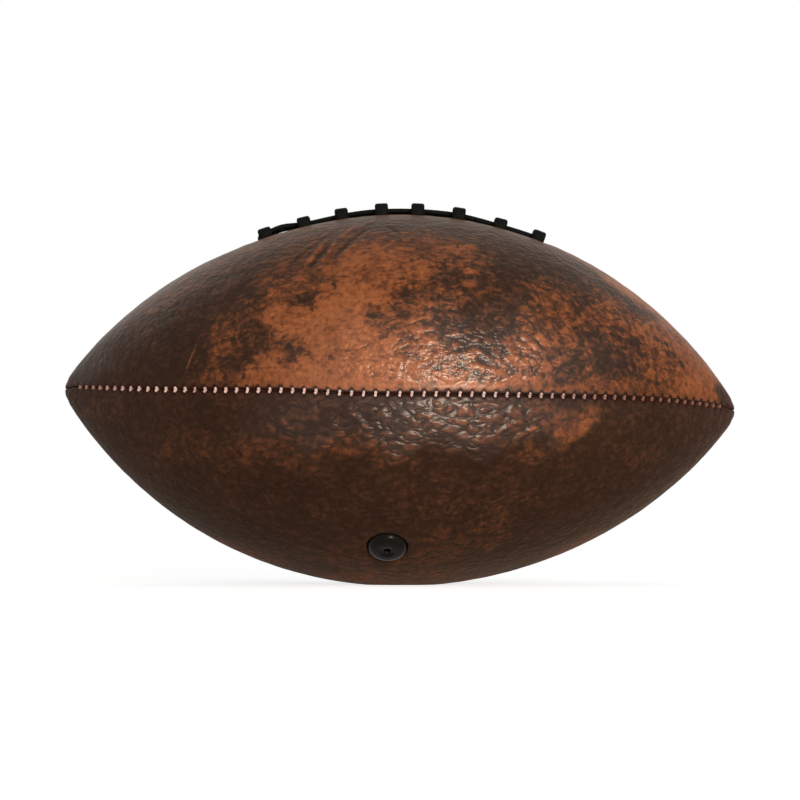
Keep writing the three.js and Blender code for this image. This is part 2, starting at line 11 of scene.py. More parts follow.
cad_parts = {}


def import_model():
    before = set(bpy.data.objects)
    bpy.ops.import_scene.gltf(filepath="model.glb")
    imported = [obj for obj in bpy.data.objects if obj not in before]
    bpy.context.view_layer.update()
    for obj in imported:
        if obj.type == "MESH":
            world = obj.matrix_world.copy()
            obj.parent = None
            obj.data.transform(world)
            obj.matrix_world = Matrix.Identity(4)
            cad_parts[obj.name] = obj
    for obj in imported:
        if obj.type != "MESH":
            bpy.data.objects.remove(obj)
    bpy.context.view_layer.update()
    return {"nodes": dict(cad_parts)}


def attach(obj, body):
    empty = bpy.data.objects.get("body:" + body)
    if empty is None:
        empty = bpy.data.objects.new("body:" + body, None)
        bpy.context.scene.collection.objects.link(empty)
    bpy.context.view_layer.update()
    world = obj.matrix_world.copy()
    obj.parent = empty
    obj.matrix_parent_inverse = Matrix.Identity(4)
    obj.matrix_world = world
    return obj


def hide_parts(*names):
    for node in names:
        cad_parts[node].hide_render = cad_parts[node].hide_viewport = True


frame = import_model()

MM = 0.001  # metres

# Outer shape
BALL_LENGTH = 280
BELLY_DIAMETER = 155.3
POINT_RADIUS = 12
POINT_OFFSET = 4.4  # each sewn point sits this far off the long axis, up at -X and down at +X
PANEL_CROWN = 1.2  # how far the middle of a panel swells past its seams
REST_FLAT_DEPTH = 0.8  # how far the cover flattens where it lies on the ground
PANEL_THICKNESS = 2.4
PANEL_TIP_RADIUS = 2  # opening between the four panel tips

# Seams
SEAM_HALF_GAP = 0.06
SEAM_DEPTH = 3.9
EDGE_ROLL_WIDTH = 1.4
EDGE_ROLL_DEPTH = 1.4
SEAM_PULL_DEPTH = 0.55  # how far the sewing draws the leather in, falling off over the width
SEAM_PULL_WIDTH = 2.6
EDGE_FOLD_THICKNESS = 2.0
FULL_EDGE_RADIUS = 5  # nearer the points than this radius, the rolled edges narrow
SEAM_RISE = 1.5  # how far the front and back seams lie above the level toward -X
SEAM_RISE_RUN = (8, 50)  # where that starts and is full, along -X
SEAM_END_RISE = 0.9  # and toward the +X point
SEAM_END_RISE_RUN = (60, 110)
SEAM_RISE_RADIUS = 8  # nearer the points than this radius, the rise runs out

# Stitches
THREAD_RADIUS = 0.56
THREAD_PLIES = 3
PLY_RELIEF = 0.12  # share of the thread's radius
PLY_TURN = 2.4  # length of one turn of the twist
STITCH_PITCH = 4.8
STITCH_SLANT = 0.15  # how far a stitch leans along the seam, either side of its middle
STITCH_REACH = 0.74  # from the seam to the hole that a stitch goes into
STITCH_NARROWING = 0.5  # share of its reach that a stitch loses toward the points
STITCH_NARROWING_STARTS = (30, 90)  # along +X and along -X
STITCH_HOLE_RADIUS = 0.75
STITCH_HOLE_DEPTH = 0.55
PUCKER_DEPTH = 0.15
PUCKER_WIDTH = 1.5
THREAD_TIP_RADIUS = 11  # the seams are sewn as far as this radius of the points

# One stitch: along the seam in slants, across it in reaches, and depth
STITCH_PATH = [
    (-1, 1.1, 2.6),
    (-1, 1.08, 1.0),
    (-0.8, 0.86, 0.25),
    (-0.4, 0.45, 0.55),
    (0, 0, 0.9),
    (0.4, -0.45, 0.55),
    (0.8, -0.86, 0.25),
    (1, -1.08, 1.0),
    (1, -1.1, 2.6),
]
STITCH_RETURN_DEPTH = 3.6  # where the thread passes under the seam to the next stitch

# Lacing
LACE_WIDTH = 5.5
LACE_THICKNESS = 2.2
LACE_EDGE_RADIUS = 0.95
LACE_BARS = 8
BAR_PITCH = 16.6
BAR_SHIFTS = (1.4, 1.5, 0.8, 0.8, -0.9, -0.5, 0.5, 0.4)  # how far each bar lies from its even place
LACING_DIP = 1.1  # how far the leather and the lacing sink on either side of the middle
LACING_DIP_WIDTH = 10
LACING_DIP_LEFT = (10, 40, 66, 90)  # along -X: where it starts, is full, is still full and has run out
LACING_DIP_RIGHT = (20, 45, 58, 66)  # the same along +X
BAR_HOLE_OFFSET = 10.5  # from the slit to each row of holes
STRAND_END_OFFSET = 1.4  # from the last bar to where the lengthwise strands go in
STRAND_GAP = 1.5
LACE_SELF_GAP = 0.1
LACE_BEND_RADIUS = 1.6
LACE_TAIL = 15
LACE_TURN_RUN = 4  # straight run under the leather before the lace turns back
LACE_INSIDE = 9.0  # depth of the lace's middle where it runs behind the leather
LACE_CLEARANCE = 0.3
STRAND_LIFT = 0.4  # gap between the leather and the lengthwise strands
STRAND_SPRING = 1.5  # how much further they have sprung up beside the first bar
STRAND_SPRING_PLACE = -50
STRAND_SPRING_WIDTH = 7
SLIT_END_MARGIN = 6  # the top seam is sewn again this far past the strands' ends

# Valve
VALVE_PLACE = -5  # along the ball from its middle
VALVE_ANGLE = math.radians(51)  # below the front seam
VALVE_HOLE_RADIUS = 8.5
VALVE_HOLE_REACH = 20  # how far the hole's cutter stands out on both sides
VALVE_DENT = 0.7  # how far the leather dips at the hole's edge
VALVE_DENT_WIDTH = 1.5

# Mesh steps
STATIONS_PER_STITCH = 8
FACE_STEPS = 138
FACE_CROWDING = 0.09  # how much closer these lie beside the seams
ROLL_STEPS = 8
BACK_STEPS = 16
HOLE_SIDES = 72
THREAD_SIDES = 9
THREAD_CURVE_STEPS = 4
STRAND_STEPS = 60
TURN_STEPS = 8
BEND_STEPS = 6
LACE_EDGE_STEPS = 3
STRAIGHT_ENOUGH = 0.2  # radians: a lace corner that turns less than this isn't rounded
SMALL_STEP = 0.01  # for reading a direction off the lace's route
SMALL_TURN = 0.001  # and off the ball's surface
VALVE_SIDES = 64
SHARP_ANGLE = math.radians(50)
VALVE_SHARP_ANGLE = math.radians(40)

# The lengthwise outline: an arc over the belly that runs into a ball nose at each point
QUARTER = math.pi / 2
HALF_LENGTH = BALL_LENGTH / 2
BELLY_RADIUS = BELLY_DIAMETER / 2
CENTRE_HEIGHT = BELLY_RADIUS - REST_FLAT_DEPTH
NOSE_CENTRE = HALF_LENGTH - POINT_RADIUS
ARC_RADIUS = (NOSE_CENTRE**2 + BELLY_RADIUS**2 - POINT_RADIUS**2) / (2 * (BELLY_RADIUS - POINT_RADIUS))
ARC_DROP = ARC_RADIUS - BELLY_RADIUS
NOSE_SLOPE = math.asin(NOSE_CENTRE / (ARC_RADIUS - POINT_RADIUS))
NOSE_START = ARC_RADIUS * NOSE_SLOPE

# Seams as turns about the long axis, counted from the front seam over the top
FRONT_SEAM = 0
TOP_SEAM = QUARTER
BACK_SEAM = 2 * QUARTER
BOTTOM_SEAM = 3 * QUARTER


def outline(slope, depth):
    """Place along the axis and radius of points at a slope of the outline, below the outer surface."""
    steep = np.abs(slope) > NOSE_SLOPE
    radius = np.where(steep, POINT_RADIUS, ARC_RADIUS) - depth
    along = np.where(steep, np.sign(slope) * NOSE_CENTRE, 0)
    return along + radius * np.sin(slope), radius * np.cos(slope) - np.where(steep, 0, ARC_DROP)


def slope_at(length):
    """The slope of the outline at a length along the surface from the middle of the ball."""
    past = np.abs(length) - NOSE_START
    slope = np.where(past > 0, NOSE_SLOPE + past / POINT_RADIUS, np.abs(length) / ARC_RADIUS)
    return np.sign(length) * slope


def axis_shift(x):
    """How far the middle of a cross-section lies above the long axis."""
    return -POINT_OFFSET * (x / HALF_LENGTH) ** 3


def smoothstep(low, high, value):
    """0 up to low, 1 from high, and a smooth rise between."""
    t = np.clip((value - low) / (high - low), 0, 1)
    return t * t * (3 - 2 * t)


def seam_lean(x, radius):
    """Turn by which the front and back seams leave the level."""
    rise = SEAM_RISE * smoothstep(*SEAM_RISE_RUN, -x) + SEAM_END_RISE * smoothstep(*SEAM_END_RISE_RUN, x)
    return rise / np.maximum(radius, SEAM_RISE_RADIUS)


def spot(slope, turn, depth):
    """Points of the ball from their slope, their turn about the axis and their depth."""
    x, r = outline(slope, depth)
    turn = turn + seam_lean(x, r) * np.cos(turn)
    crowned = r * (1 + PANEL_CROWN / BELLY_RADIUS * np.sin(2 * turn) ** 2)
    y = -crowned * np.cos(turn)
    z = crowned * np.sin(turn) + axis_shift(x) + CENTRE_HEIGHT
    return np.stack(np.broadcast_arrays(x, y, z), axis=-1)


def seam_spot(seam, length, reach, depth):
    """A point beside a seam: along the surface from the middle, and a distance to one side."""
    slope = slope_at(length)
    return spot(slope, seam + np.arcsin(reach / outline(slope, depth)[1]), depth)


def mesh_object(name, points, faces):
    """A mesh object in the scene from points in millimetres."""
    mesh = bpy.data.meshes.new(name)
    mesh.from_pydata((np.asarray(points) * MM).tolist(), [], faces)
    made = bpy.data.objects.new(name, mesh)
    bpy.context.scene.collection.objects.link(made)
    return made


def new_piece(name, points, faces, body, replaced):
    """A mesh object that rides on a body in place of a CAD node."""
    piece = mesh_object(name, points, faces)
    made = bmesh.new()
    made.from_mesh(piece.data)
    bmesh.ops.recalc_face_normals(made, faces=made.faces)
    made.to_mesh(piece.data)
    made.free()
    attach(piece, body)
    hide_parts(replaced)
    return piece


def finish_mesh(piece, material, sharp_angle=SHARP_ANGLE):
    """Gives a piece its material, and smooth shading except at sharp edges."""
    piece.data.materials.clear()
    piece.data.materials.append(material)
    piece.data.shade_smooth()
    piece.data.set_sharp_from_angle(angle=sharp_angle)


def loft_faces(rows, columns):
    """Quads over a grid of closed sections, with one face that closes each end."""
    faces = []
    for i in range(rows - 1):
        for j in range(columns):
            a = i * columns + j
            b = i * columns + (j + 1) % columns
            faces.append((a, b, b + columns, a + columns))
    last = (rows - 1) * columns
    faces.append(tuple(range(columns))[::-1])
    faces.append(tuple(range(last, last + columns)))
    return faces


# Stitch places along each seam

THREAD_END = ARC_RADIUS * math.acos((THREAD_TIP_RADIUS + ARC_DROP) / ARC_RADIUS)
FIRST_BAR = -BAR_PITCH * (LACE_BARS - 1) / 2
STRAND_END = STRAND_END_OFFSET - FIRST_BAR
SLIT_END = STRAND_END + SLIT_END_MARGIN
THREADS = {
    "front": (FRONT_SEAM, -THREAD_END, THREAD_END),
    "back": (BACK_SEAM, -THREAD_END, THREAD_END),
    "bottom": (BOTTOM_SEAM, -THREAD_END, THREAD_END),
    "top_left": (TOP_SEAM, -THREAD_END, -SLIT_END),
    "top_right": (TOP_SEAM, SLIT_END, THREAD_END),
}


def stitch_places(start, end):
    """The middle of each stitch along a seam, and the pitch."""
    count = round((end - start) / STITCH_PITCH)
    pitch = (end - start) / count
    return start + pitch * (np.arange(count) + 0.5), pitch


def seam_pull(reach):
    """How far the sewing draws the leather in at a distance from the seam."""
    return SEAM_PULL_DEPTH * np.exp(-np.abs(reach) / SEAM_PULL_WIDTH)


def stitch_dent(seam, side, length, reach):
    """How far the leather on one side of a seam is drawn in by the sewing."""
    dent = seam_pull(reach) + np.zeros(np.broadcast(length, reach).shape)
    for thread_seam, start, end in THREADS.values():
        on_this_seam = math.cos(thread_seam - seam) > 0.9
        if not on_this_seam:
            continue
        places, pitch = stitch_places(start, end)
        nearest = np.clip(np.round((length - places[0]) / pitch), 0, len(places) - 1)
        off = length - (places[0] + nearest * pitch)
        sewn = 1 - smoothstep(0.5 * pitch, pitch, np.abs(off))
        wave = 0.5 + 0.5 * np.cos(2 * math.pi * off / pitch)
        dent = dent + PUCKER_DEPTH * sewn * wave * np.exp(-((reach / PUCKER_WIDTH) ** 2))
        hole = ((off - side * STITCH_SLANT) ** 2 + (reach - STITCH_REACH) ** 2) / STITCH_HOLE_RADIUS**2
        dent = dent + STITCH_HOLE_DEPTH * np.exp(-hole)
    return dent


# Places on one side of the ball, as it is seen from the front or from the back

def side_places(points):
    """Along the ball to the viewer's right, and round it from the facing seam, for points in millimetres."""
    x, y, z = points.T
    up = z - CENTRE_HEIGHT - axis_shift(x)
    facing = np.where(y <= 0, 1, -1)
    seen = np.arctan2(up, np.abs(y))
    radius = np.hypot(y, up)
    lean = seam_lean(x, radius)
    turn = seen - lean * np.cos(seen - lean * np.cos(seen))
    return x * facing, radius * turn


# Waves that push what is painted about: size, radians for each millimetre along and round, and phase
WANDER_ALONG = [(2.2, 0, 0.23, 0.6), (1.3, 0.41, 0.37, 0)]
WANDER_AROUND = [(2.2, 0.19, 0, 1.9), (1.3, -0.33, 0.47, 0)]
STROKE_FADE = (0.3, 1.5)  # shares of a stroke's size where it starts to fade and has faded


def wandering(along, around):
    """Places pushed about a little, so that the edges of what is painted wander."""

    def pushed(place, waves):
        for size, a, b, phase in waves:
            place = place + size * np.sin(a * along + b * around + phase)
        return place

    return pushed(along, WANDER_ALONG), pushed(around, WANDER_AROUND)


def painted(along, around, base, strokes):
    """A level painted over a base with soft strokes."""
    u, v = wandering(along, around)
    level = base + np.zeros_like(along)
    for place, height, half_length, half_width, tilt, value in strokes:
        c, s = math.cos(math.radians(tilt)), math.sin(math.radians(tilt))
        p = ((u - place) * c + (v - height) * s) / half_length
        q = ((v - height) * c - (u - place) * s) / half_width
        weight = 1 - smoothstep(*STROKE_FADE, np.hypot(p, q))
        level = level + (value - level) * weight
    return level


# Dark stain over copper leather. Each stroke: place along the ball, place round it from the seam,
# half length, half width, tilt in degrees, and the stain there from 0, bare, to 1, covered.
UPPER_STAIN = 0.5
LOWER_STAIN = 0.94
STAIN_STROKES = [
    (-94, 31, 75, 30, 33, 0.98),
    (-109, 10, 43, 18, 0, 1.0),
    # Lighter leather along the upper left edge: a painted sheen
    (-92, 62, 48, 22, 36, 0.64),
    (-23, 31, 36, 28, 8, 0.05),
    (-23, 9, 39, 11, 0, 0.06),
    (-69, 18, 10, 18, 0, 0.5),
    (-60, 25, 6.5, 15, -12, 0.82),
    (-67, 12, 5.5, 4.4, 0, 0.75),
    (-39, 41, 6.5, 5.5, 10, 0.76),
    (-45, 16, 7, 6, 0, 0.62),
    (-28, 46, 1.5, 2.6, 0, 0.8),
    (-5, 31, 7, 8, 0, 0.58),
    (-36, 70, 17, 18, 45, 0.66),
    (-8, 60, 20, 11.6, 4, 0.1),
    (17, 95, 55, 15, -2, 0.95),
    (57, 68, 36, 16, -24, 0.95),
    (22, 48, 24, 21, 0, 0.57),
    (41, 41, 14, 12, 0, 0.85),
    (45, 56, 11, 10.6, 0, 0.92),
    (1, 42, 4, 7, 0, 0.8),
    (15, 47, 4.4, 3.6, 0, 0.76),
    (26, 50, 7, 4.8, 0, 0.8),
    (24, 68, 7.6, 4.7, 10, 0.35),
    (7, 55, 7.5, 7.7, 0, 0.3),
    (55, 43, 5.3, 5.2, 0, 0.4),
    (34, 22, 26, 12, 0, 0.56),
    (34, 25, 18, 9, 0, 0.85),
    (36, 10, 34, 6, 0, 0.42),
    (3, 14, 12, 14.5, 0, 0.16),
    # Bare copper in a thin band just above the seam: partly the leather's copper, partly a painted highlight
    (22, 4, 42, 3, 0, 0.1),
    (82, 25, 27, 23, 0, 0.46),
    (84, 14, 11, 7, -30, 0.84),
    (76, 25, 6.5, 4, 0, 0.8),
    (93, 25, 6, 5, 0, 0.78),
    (68, 13, 6.5, 7, 0, 0.72),
    (74, 40, 6.5, 5, 0, 0.66),
    (67, 49, 7.7, 4.7, -20, 0.8),
    (94, 50, 12.6, 7.2, -35, 0.92),
    (100, 42, 5, 3.4, -30, 0.75),
    (109, 21, 9.8, 12.8, 0, 0.48),
    (110, 10, 7.7, 4.3, 0, 0.64),
    (124, 16, 16, 16, -40, 0.12),
    (108, 34, 9, 8, -30, 0.22),
    (105, 56, 37, 9.6, -41, -0.1),
    (138, 6, 5.8, 12, 0, 0.85),
    (29, -11, 33, 10, 0, 0.68),
    (68, -12, 10.5, 6.5, 20, 0.42),
    (61, -5, 11.7, 4.2, 0, 0.6),
    (55, -25, 9.3, 3.6, 15, 0.68),
    (34, -52, 12, 16, 0, 0.75),
    (40, -37, 8.6, 7.7, 0, 0.82),
    (15, -69, 11, 8, 0, 0.76),
    (30, -63, 11, 10, 0, 0.8),
    (-17, -22, 30, 5.2, 0, 0.6),
    (-6, -47, 36, 14, 0, 0.9),
    (-127, -9, 10, 4.6, 0, 0.76),
    (-118, -12, 7, 3.6, 0, 0.8),
    (-75, -24, 28, 10, 0, 0.8),
    (-52, -25, 24, 7, 0, 0.7),
    (99, -22, 8.8, 5.7, 0, 0.78),
    (-5, -84, 44, 17, 0, 0.72),
    # These four strokes make the leather lighter and more copper-coloured toward the bottom rim
    (8, -104, 46, 14, 0, 0.56),
    (-18, -99, 15, 8, 0, 0.42),
    (75, -85, 21, 12, 28, 0.5),
    (-63, -88, 19, 11, -27, 0.5),
    (-39, -65, 4.3, 4, 0, 0.8),
]

# Painted shade in the seam grooves and in the needle holes beside them, added to the level of stain
GROOVE_SHADE = 2.0
GROOVE_SHADE_RUN = (0.6, 1.4)  # how far from the seam it starts to thin and has run out
HOLE_SHADE = 1.3
HOLE_SHADE_REACH = 1.6  # from the seam
HOLE_SHADE_RADIUS = 0.65

# How much the finish is broken up into spots, in the same terms
FLAT_MOTTLE = 0.3
MOTTLE_STROKES = [
    (-66, 22, 18, 26, 0, 0.55),
    (-25, 30, 36, 34, 0, 0.6),
    (25, 45, 36, 26, 0, 0.75),
    (33, 16, 36, 18, 0, 0.75),
    (85, 28, 32, 30, -20, 0.7),
    (62, -12, 18, 14, 0, 0.28),
    (-70, -30, 44, 24, 0, 0.26),
    (0, -80, 50, 24, 0, 0.26),
    (28, -55, 26, 20, 0, 0.58),
]

# Where the leather is creased into pebbles, in the same terms
UPPER_CREASE = 0.75
LOWER_CREASE = 0.45
CREASE_STROKES = [
    (34, 15, 38, 18, 0, 1.0),
    (17, -13, 47, 14, 0, 1.0),
    (-28, -12, 30, 11, 0, 1.2),
    (-31, 69, 17, 19, 0, 0.6),
]

# How far from a seam the creases start, and where they are full
UPPER_SMOOTH = (3, 8)
LOWER_SMOOTH = (1.5, 4.5)
SMOOTH_CREASE = 0.15  # share of the creases that is left beside a seam
SEAM_BLEND = 2  # reach over which the upper level turns into the lower one

# Where handling has polished it, in the same terms
FLAT_GLOSS = 0.02
GLOSS_STROKES = [
    (20, 9, 60, 26, 0, 0.72),
    (14, -9, 46, 12, 0, 0.7),
    (-36, -12, 26, 10, 0, 0.4),
    (-100, 48, 52, 18, 38, 0.2),
    (92, 55, 48, 18, -40, 0.1),
    (-127, 9, 13, 8, 0, 0.2),
]

# Where it has long slanting creases, in the same terms
SLASH_STROKES = [
    (-20, -11, 30, 11, -10, 0.9),
    (-31, 69, 15, 14, 0, 0.5),
    (62, 22, 16, 12, 0, 0.5),
]

# Single folds: where each starts and ends, along the ball and round it, then half width and height.
# A raised fold is worn to copper, and a sunk one keeps the dark finish.
FOLDS = [
    (-39, 55, -28, 78, 0.75, 0.5),
    (-37, 54, -28, 71, 0.9, -0.5),
    (-31, 60, -25, 75, 0.75, 0.45),
    (-25, 74, -17, 89, 0.9, 0.4),
    (-28, 60, -19, 74, 0.9, -0.55),
    (-20, 73, -13, 84, 0.9, -0.45),
    (-42, 63, -33, 76, 0.8, 0.35),
    (-33, 76, -28, 83, 0.8, 0.3),
    (-45, 56, -35, 72, 0.9, -0.3),
    (-18, 83, -10, 95, 0.9, 0.4),
    (-24, 63, -16, 73, 0.8, 0.3),
    (-6, 87, 1, 77, 0.9, -0.35),
    (-19, -8, -9, -17, 0.75, 0.45),
    (-22, -5, -11, -13, 0.7, 0.35),
    (-5, -2, -2, -7, 0.8, 0.25),
    (-14, -16, -5, -20, 0.8, 0.35),
    (-1, -7, 6, -11, 0.8, 0.25),
    (-28, -10, -21, -16, 0.8, 0.35),
    (-48, -10, -41, -18, 0.75, 0.35),
    (-53, -13, -47, -18, 0.75, 0.25),
    (-37, -13, -31, -18, 0.75, 0.3),
    (-3, 18, -6, 4, 0.7, 0.15),
    (1, 15, -2, 4, 0.7, 0.15),
    (-16, 25, -25, 16, 0.7, 0.15),
    (44, 23, 55, 15, 0.8, 0.35),
    (47, 25, 59, 16, 0.8, 0.35),
    (42, 18, 53, 10, 0.8, 0.35),
    (49, 28, 61, 21, 0.8, 0.2),
    (56, 17, 62, 10, 0.8, 0.25),
    (17, 14, 29, 18, 0.8, 0.25),
    (15, 17, 23, 16, 0.8, 0.2),
    (30, 18, 39, 12, 0.8, 0.3),
    (37, -16, 50, -9, 0.75, 0.35),
    (44, -18, 58, -11, 0.75, 0.3),
    (57, -12, 67, -8, 0.75, 0.3),
    (28, 23, 20, 26, 0.8, 0.2),
]
FOLD_STAIN = 0.9  # change in stain for each millimetre of a fold's height
FOLD_FADE = (0.4, 1.15)  # shares of a fold's half length where it starts to run out and has run out

WRINKLE_HEIGHT = 0.2
WRINKLE_SIZE = 7
FINE_WRINKLE_SIZE = 0.45 * WRINKLE_SIZE
FINE_WRINKLE_SHARE = 0.5


# Panels

def crease_level(along, around):
    """How much the leather is creased: less beside a seam, where it is pulled tight."""
    loose = np.where(around > 0, smoothstep(*UPPER_SMOOTH, around), smoothstep(*LOWER_SMOOTH, -around))
    flat = LOWER_CREASE + (UPPER_CREASE - LOWER_CREASE) * smoothstep(-SEAM_BLEND, SEAM_BLEND, around)
    return painted(along, around, flat, CREASE_STROKES) * (SMOOTH_CREASE + (1 - SMOOTH_CREASE) * loose)


def wrinkles(points, crease):
    """Low folds of the leather, higher where it is creased."""
    height = []
    for point in map(Vector, points):
        fine = FINE_WRINKLE_SHARE * noise.noise(point / FINE_WRINKLE_SIZE)
        height.append(noise.noise(point / WRINKLE_SIZE) + fine)
    return WRINKLE_HEIGHT * np.array(height) * crease


def fold_height(along, around):
    """Height of the single folds, each rising and running out at its ends."""
    height = np.zeros_like(along)
    for start_along, start_around, end_along, end_around, half_width, rise in FOLDS:
        run, climb = (end_along - start_along) / 2, (end_around - start_around) / 2
        half_length = math.hypot(run, climb)
        off_u = along - (start_along + run)
        off_v = around - (start_around + climb)
        lengthwise = (off_u * run + off_v * climb) / half_length**2
        sideways = (off_v * run - off_u * climb) / (half_length * half_width)
        height += rise * (1 - smoothstep(*FOLD_FADE, np.abs(lengthwise))) * np.exp(-(sideways**2))
    return height


def panel_section(slope):
    """Turns and depths round a panel's cross-section, and how many of its points are on the outside."""

    def turn_of(inset, depth):
        return np.arcsin(inset / outline(slope, depth)[1])

    scale = np.minimum(1, outline(slope, 0)[1] / FULL_EDGE_RADIUS)
    angles = QUARTER * np.arange(ROLL_STEPS) / ROLL_STEPS
    roll_depth = scale * EDGE_ROLL_DEPTH * (1 - np.sin(angles))
    roll_turn = turn_of(SEAM_HALF_GAP + scale * EDGE_ROLL_WIDTH * (1 - np.cos(angles)), roll_depth)
    face_edge = turn_of(SEAM_HALF_GAP + scale * EDGE_ROLL_WIDTH, 0)
    spread = np.arange(FACE_STEPS + 1) / FACE_STEPS
    spread = spread - FACE_CROWDING * np.sin(math.tau * spread)
    face_turn = face_edge + (QUARTER - 2 * face_edge) * spread
    fold_inset = SEAM_HALF_GAP + scale * EDGE_FOLD_THICKNESS
    low_turn = turn_of(SEAM_HALF_GAP, SEAM_DEPTH)
    fold_turn = turn_of(fold_inset, SEAM_DEPTH)
    back_edge = turn_of(fold_inset, PANEL_THICKNESS)
    back_turn = back_edge + (QUARTER - 2 * back_edge) * np.arange(BACK_STEPS + 1) / BACK_STEPS
    far_roll = QUARTER - roll_turn[::-1]
    outer_turn = np.concatenate([[low_turn], roll_turn, face_turn, far_roll, [QUARTER - low_turn]])
    outer_depth = np.concatenate([[SEAM_DEPTH], roll_depth, 0 * face_turn, roll_depth[::-1], [SEAM_DEPTH]])
    turn = np.concatenate([outer_turn, [QUARTER - fold_turn], back_turn[::-1], [fold_turn]])
    depth = np.concatenate([outer_depth, [SEAM_DEPTH], PANEL_THICKNESS + 0 * back_turn, [SEAM_DEPTH]])
    return turn, depth, len(outer_turn)


def panel_stations():
    """Lengths along the ball of a panel's sections, in step with the stitches of its long seams."""
    end = NOSE_START + POINT_RADIUS * (math.acos(PANEL_TIP_RADIUS / POINT_RADIUS) - NOSE_SLOPE)
    step = stitch_places(-THREAD_END, THREAD_END)[1] / STATIONS_PER_STITCH
    inner = step * np.arange(math.ceil(end / step))
    half = np.append(inner, end)
    return np.concatenate([-half[:0:-1], half])


def plateau(start, full, still_full, end, value):
    """1 between full and still_full, falling to 0 at start and end."""
    return smoothstep(start, full, value) * (1 - smoothstep(still_full, end, value))


def lacing_dip(along):
    """How far the lacing sinks at a place along the ball."""
    return LACING_DIP * (plateau(*LACING_DIP_LEFT, -along) + plateau(*LACING_DIP_RIGHT, along))


def slit_dent(points):
    """The leather sinks with the lacing along the slit."""
    x, y, z = points.T
    return np.where(z > CENTRE_HEIGHT, lacing_dip(x) * np.exp(-((y / LACING_DIP_WIDTH) ** 2)), 0)


def valve_dent(points):
    """The leather dips to the edge of the valve's hole."""
    reach = np.linalg.norm(points - VALVE_FRAME[0], axis=-1)
    return VALVE_DENT * np.exp(-(((reach - VALVE_HOLE_RADIUS) / VALVE_DENT_WIDTH) ** 2))


def surface_frame(slope, turn):
    """Origin and directions along, around and out of the ball at a point of its surface."""
    origin = spot(slope, turn, 0)
    out = spot(slope, turn, -1) - origin
    out /= np.linalg.norm(out)
    around = spot(slope, turn + SMALL_TURN, 0) - origin
    along = np.cross(around, out)
    along /= np.linalg.norm(along)
    return origin, along, np.cross(out, along), out


VALVE_FRAME = surface_frame(slope_at(VALVE_PLACE), -VALVE_ANGLE)


def panel_points(seam):
    """All points of a panel, section after section, drawn in at the stitches and folds."""
    rows = []
    for length in panel_stations():
        slope = slope_at(length)
        turn, depth, outer = panel_section(slope)
        radius = outline(slope, 0)[1]
        face_turn = turn[:outer]
        near = radius * np.sin(face_turn)
        far = radius * np.sin(QUARTER - face_turn)
        dent = stitch_dent(seam, 1, length, near) + stitch_dent(seam + QUARTER, -1, length, far)
        face = spot(slope, seam + face_turn, depth[:outer])
        along, around = side_places(face)
        crease = crease_level(along, around)
        dent = dent - wrinkles(face, crease) - fold_height(along, around)
        dent = dent + valve_dent(face) + slit_dent(face)
        tip = smoothstep(PANEL_TIP_RADIUS, FULL_EDGE_RADIUS, radius)
        depth[1 : outer - 1] += (dent * tip)[1:-1]
        rows.append(spot(slope, seam + turn, depth))
    points = np.concatenate(rows)
    points[:, 2] = np.maximum(points[:, 2], 0)
    return points, len(rows), len(rows[0])


def cut(piece, tool):
    """Cuts a tool's solid out of a piece and deletes the tool."""
    change = piece.modifiers.new("cut", "BOOLEAN")
    change.operation = "DIFFERENCE"
    change.solver = "EXACT"
    change.object = tool
    evaluated = piece.evaluated_get(bpy.context.evaluated_depsgraph_get())
    mesh = bpy.data.meshes.new_from_object(evaluated)
    made = bmesh.new()
    made.from_mesh(mesh)
    bmesh.ops.triangulate(made, faces=made.faces)  # so that no face along the cut folds on itself
    made.to_mesh(mesh)
    made.free()
    piece.modifiers.clear()
    old = piece.data
    piece.data = mesh
    mesh.name = piece.name
    bpy.data.meshes.remove(old)
    bpy.data.objects.remove(tool)


def box_tool(frames, sizes):
    """Boxes on surface frames as one cutter."""
    points, faces = [], []
    for (origin, along, around, out), (a, b, c) in zip(frames, sizes):
        start = len(points)
        for i in range(8):
            x, y, z = (a if i & 1 else -a), (b if i & 2 else -b), (c if i & 4 else -c)
            points.append(origin + x * along + y * around + z * out)
        quads = [(0, 2, 3, 1), (4, 5, 7, 6), (0, 1, 5, 4), (2, 6, 7, 3), (0, 4, 6, 2), (1, 3, 7, 5)]
        faces += [tuple(start + k for k in quad) for quad in quads]
    return mesh_object("slots", points, faces)


STRAND_OFFSET = (LACE_WIDTH + STRAND_GAP) / 2
BARS = [FIRST_BAR + i * BAR_PITCH + BAR_SHIFTS[i] for i in range(LACE_BARS)]


def lace_slots(side):
    """The slots that the lace goes through on one side of the slit."""
    long = LACE_WIDTH / 2 + LACE_CLEARANCE
    short = LACE_THICKNESS / 2 + LACE_CLEARANCE
    strand_reach = STRAND_OFFSET + long
    frames, sizes = [], []

    def slot(along, across, half_along, half_across):
        slope = slope_at(along)
        turn = TOP_SEAM + side * across / outline(slope, 0)[1]
        frames.append(surface_frame(slope, turn))
        sizes.append((half_along, half_across, LACE_INSIDE))

    for bar in BARS:
        slot(bar, BAR_HOLE_OFFSET, long, short)
    for end in (-1, 1):
        slot(end * STRAND_END, strand_reach / 2, short, strand_reach / 2)
    return box_tool(frames, sizes)


def valve_ring(radius, height, sides):
    """Points of a circle about the valve's axis."""
    origin, along, around, out = VALVE_FRAME
    ring = []
    for k in range(sides):
        angle = math.tau * k / sides
        ring.append(origin + radius * (math.cos(angle) * along + math.sin(angle) * around) + height * out)
    return ring


def valve_hole():
    """The round cutter for the valve's hole."""
    points = valve_ring(VALVE_HOLE_RADIUS, -VALVE_HOLE_REACH, HOLE_SIDES)
    points += valve_ring(VALVE_HOLE_RADIUS, VALVE_HOLE_REACH, HOLE_SIDES)
    return mesh_object("valve_hole", points, loft_faces(2, HOLE_SIDES))


def write_attribute(mesh, name, values):
    """One number for each point of a mesh, for its material to read."""
    attribute = mesh.attributes.new(name, "FLOAT", "POINT")
    attribute.data.foreach_set("value", np.asarray(values, dtype=np.float32))


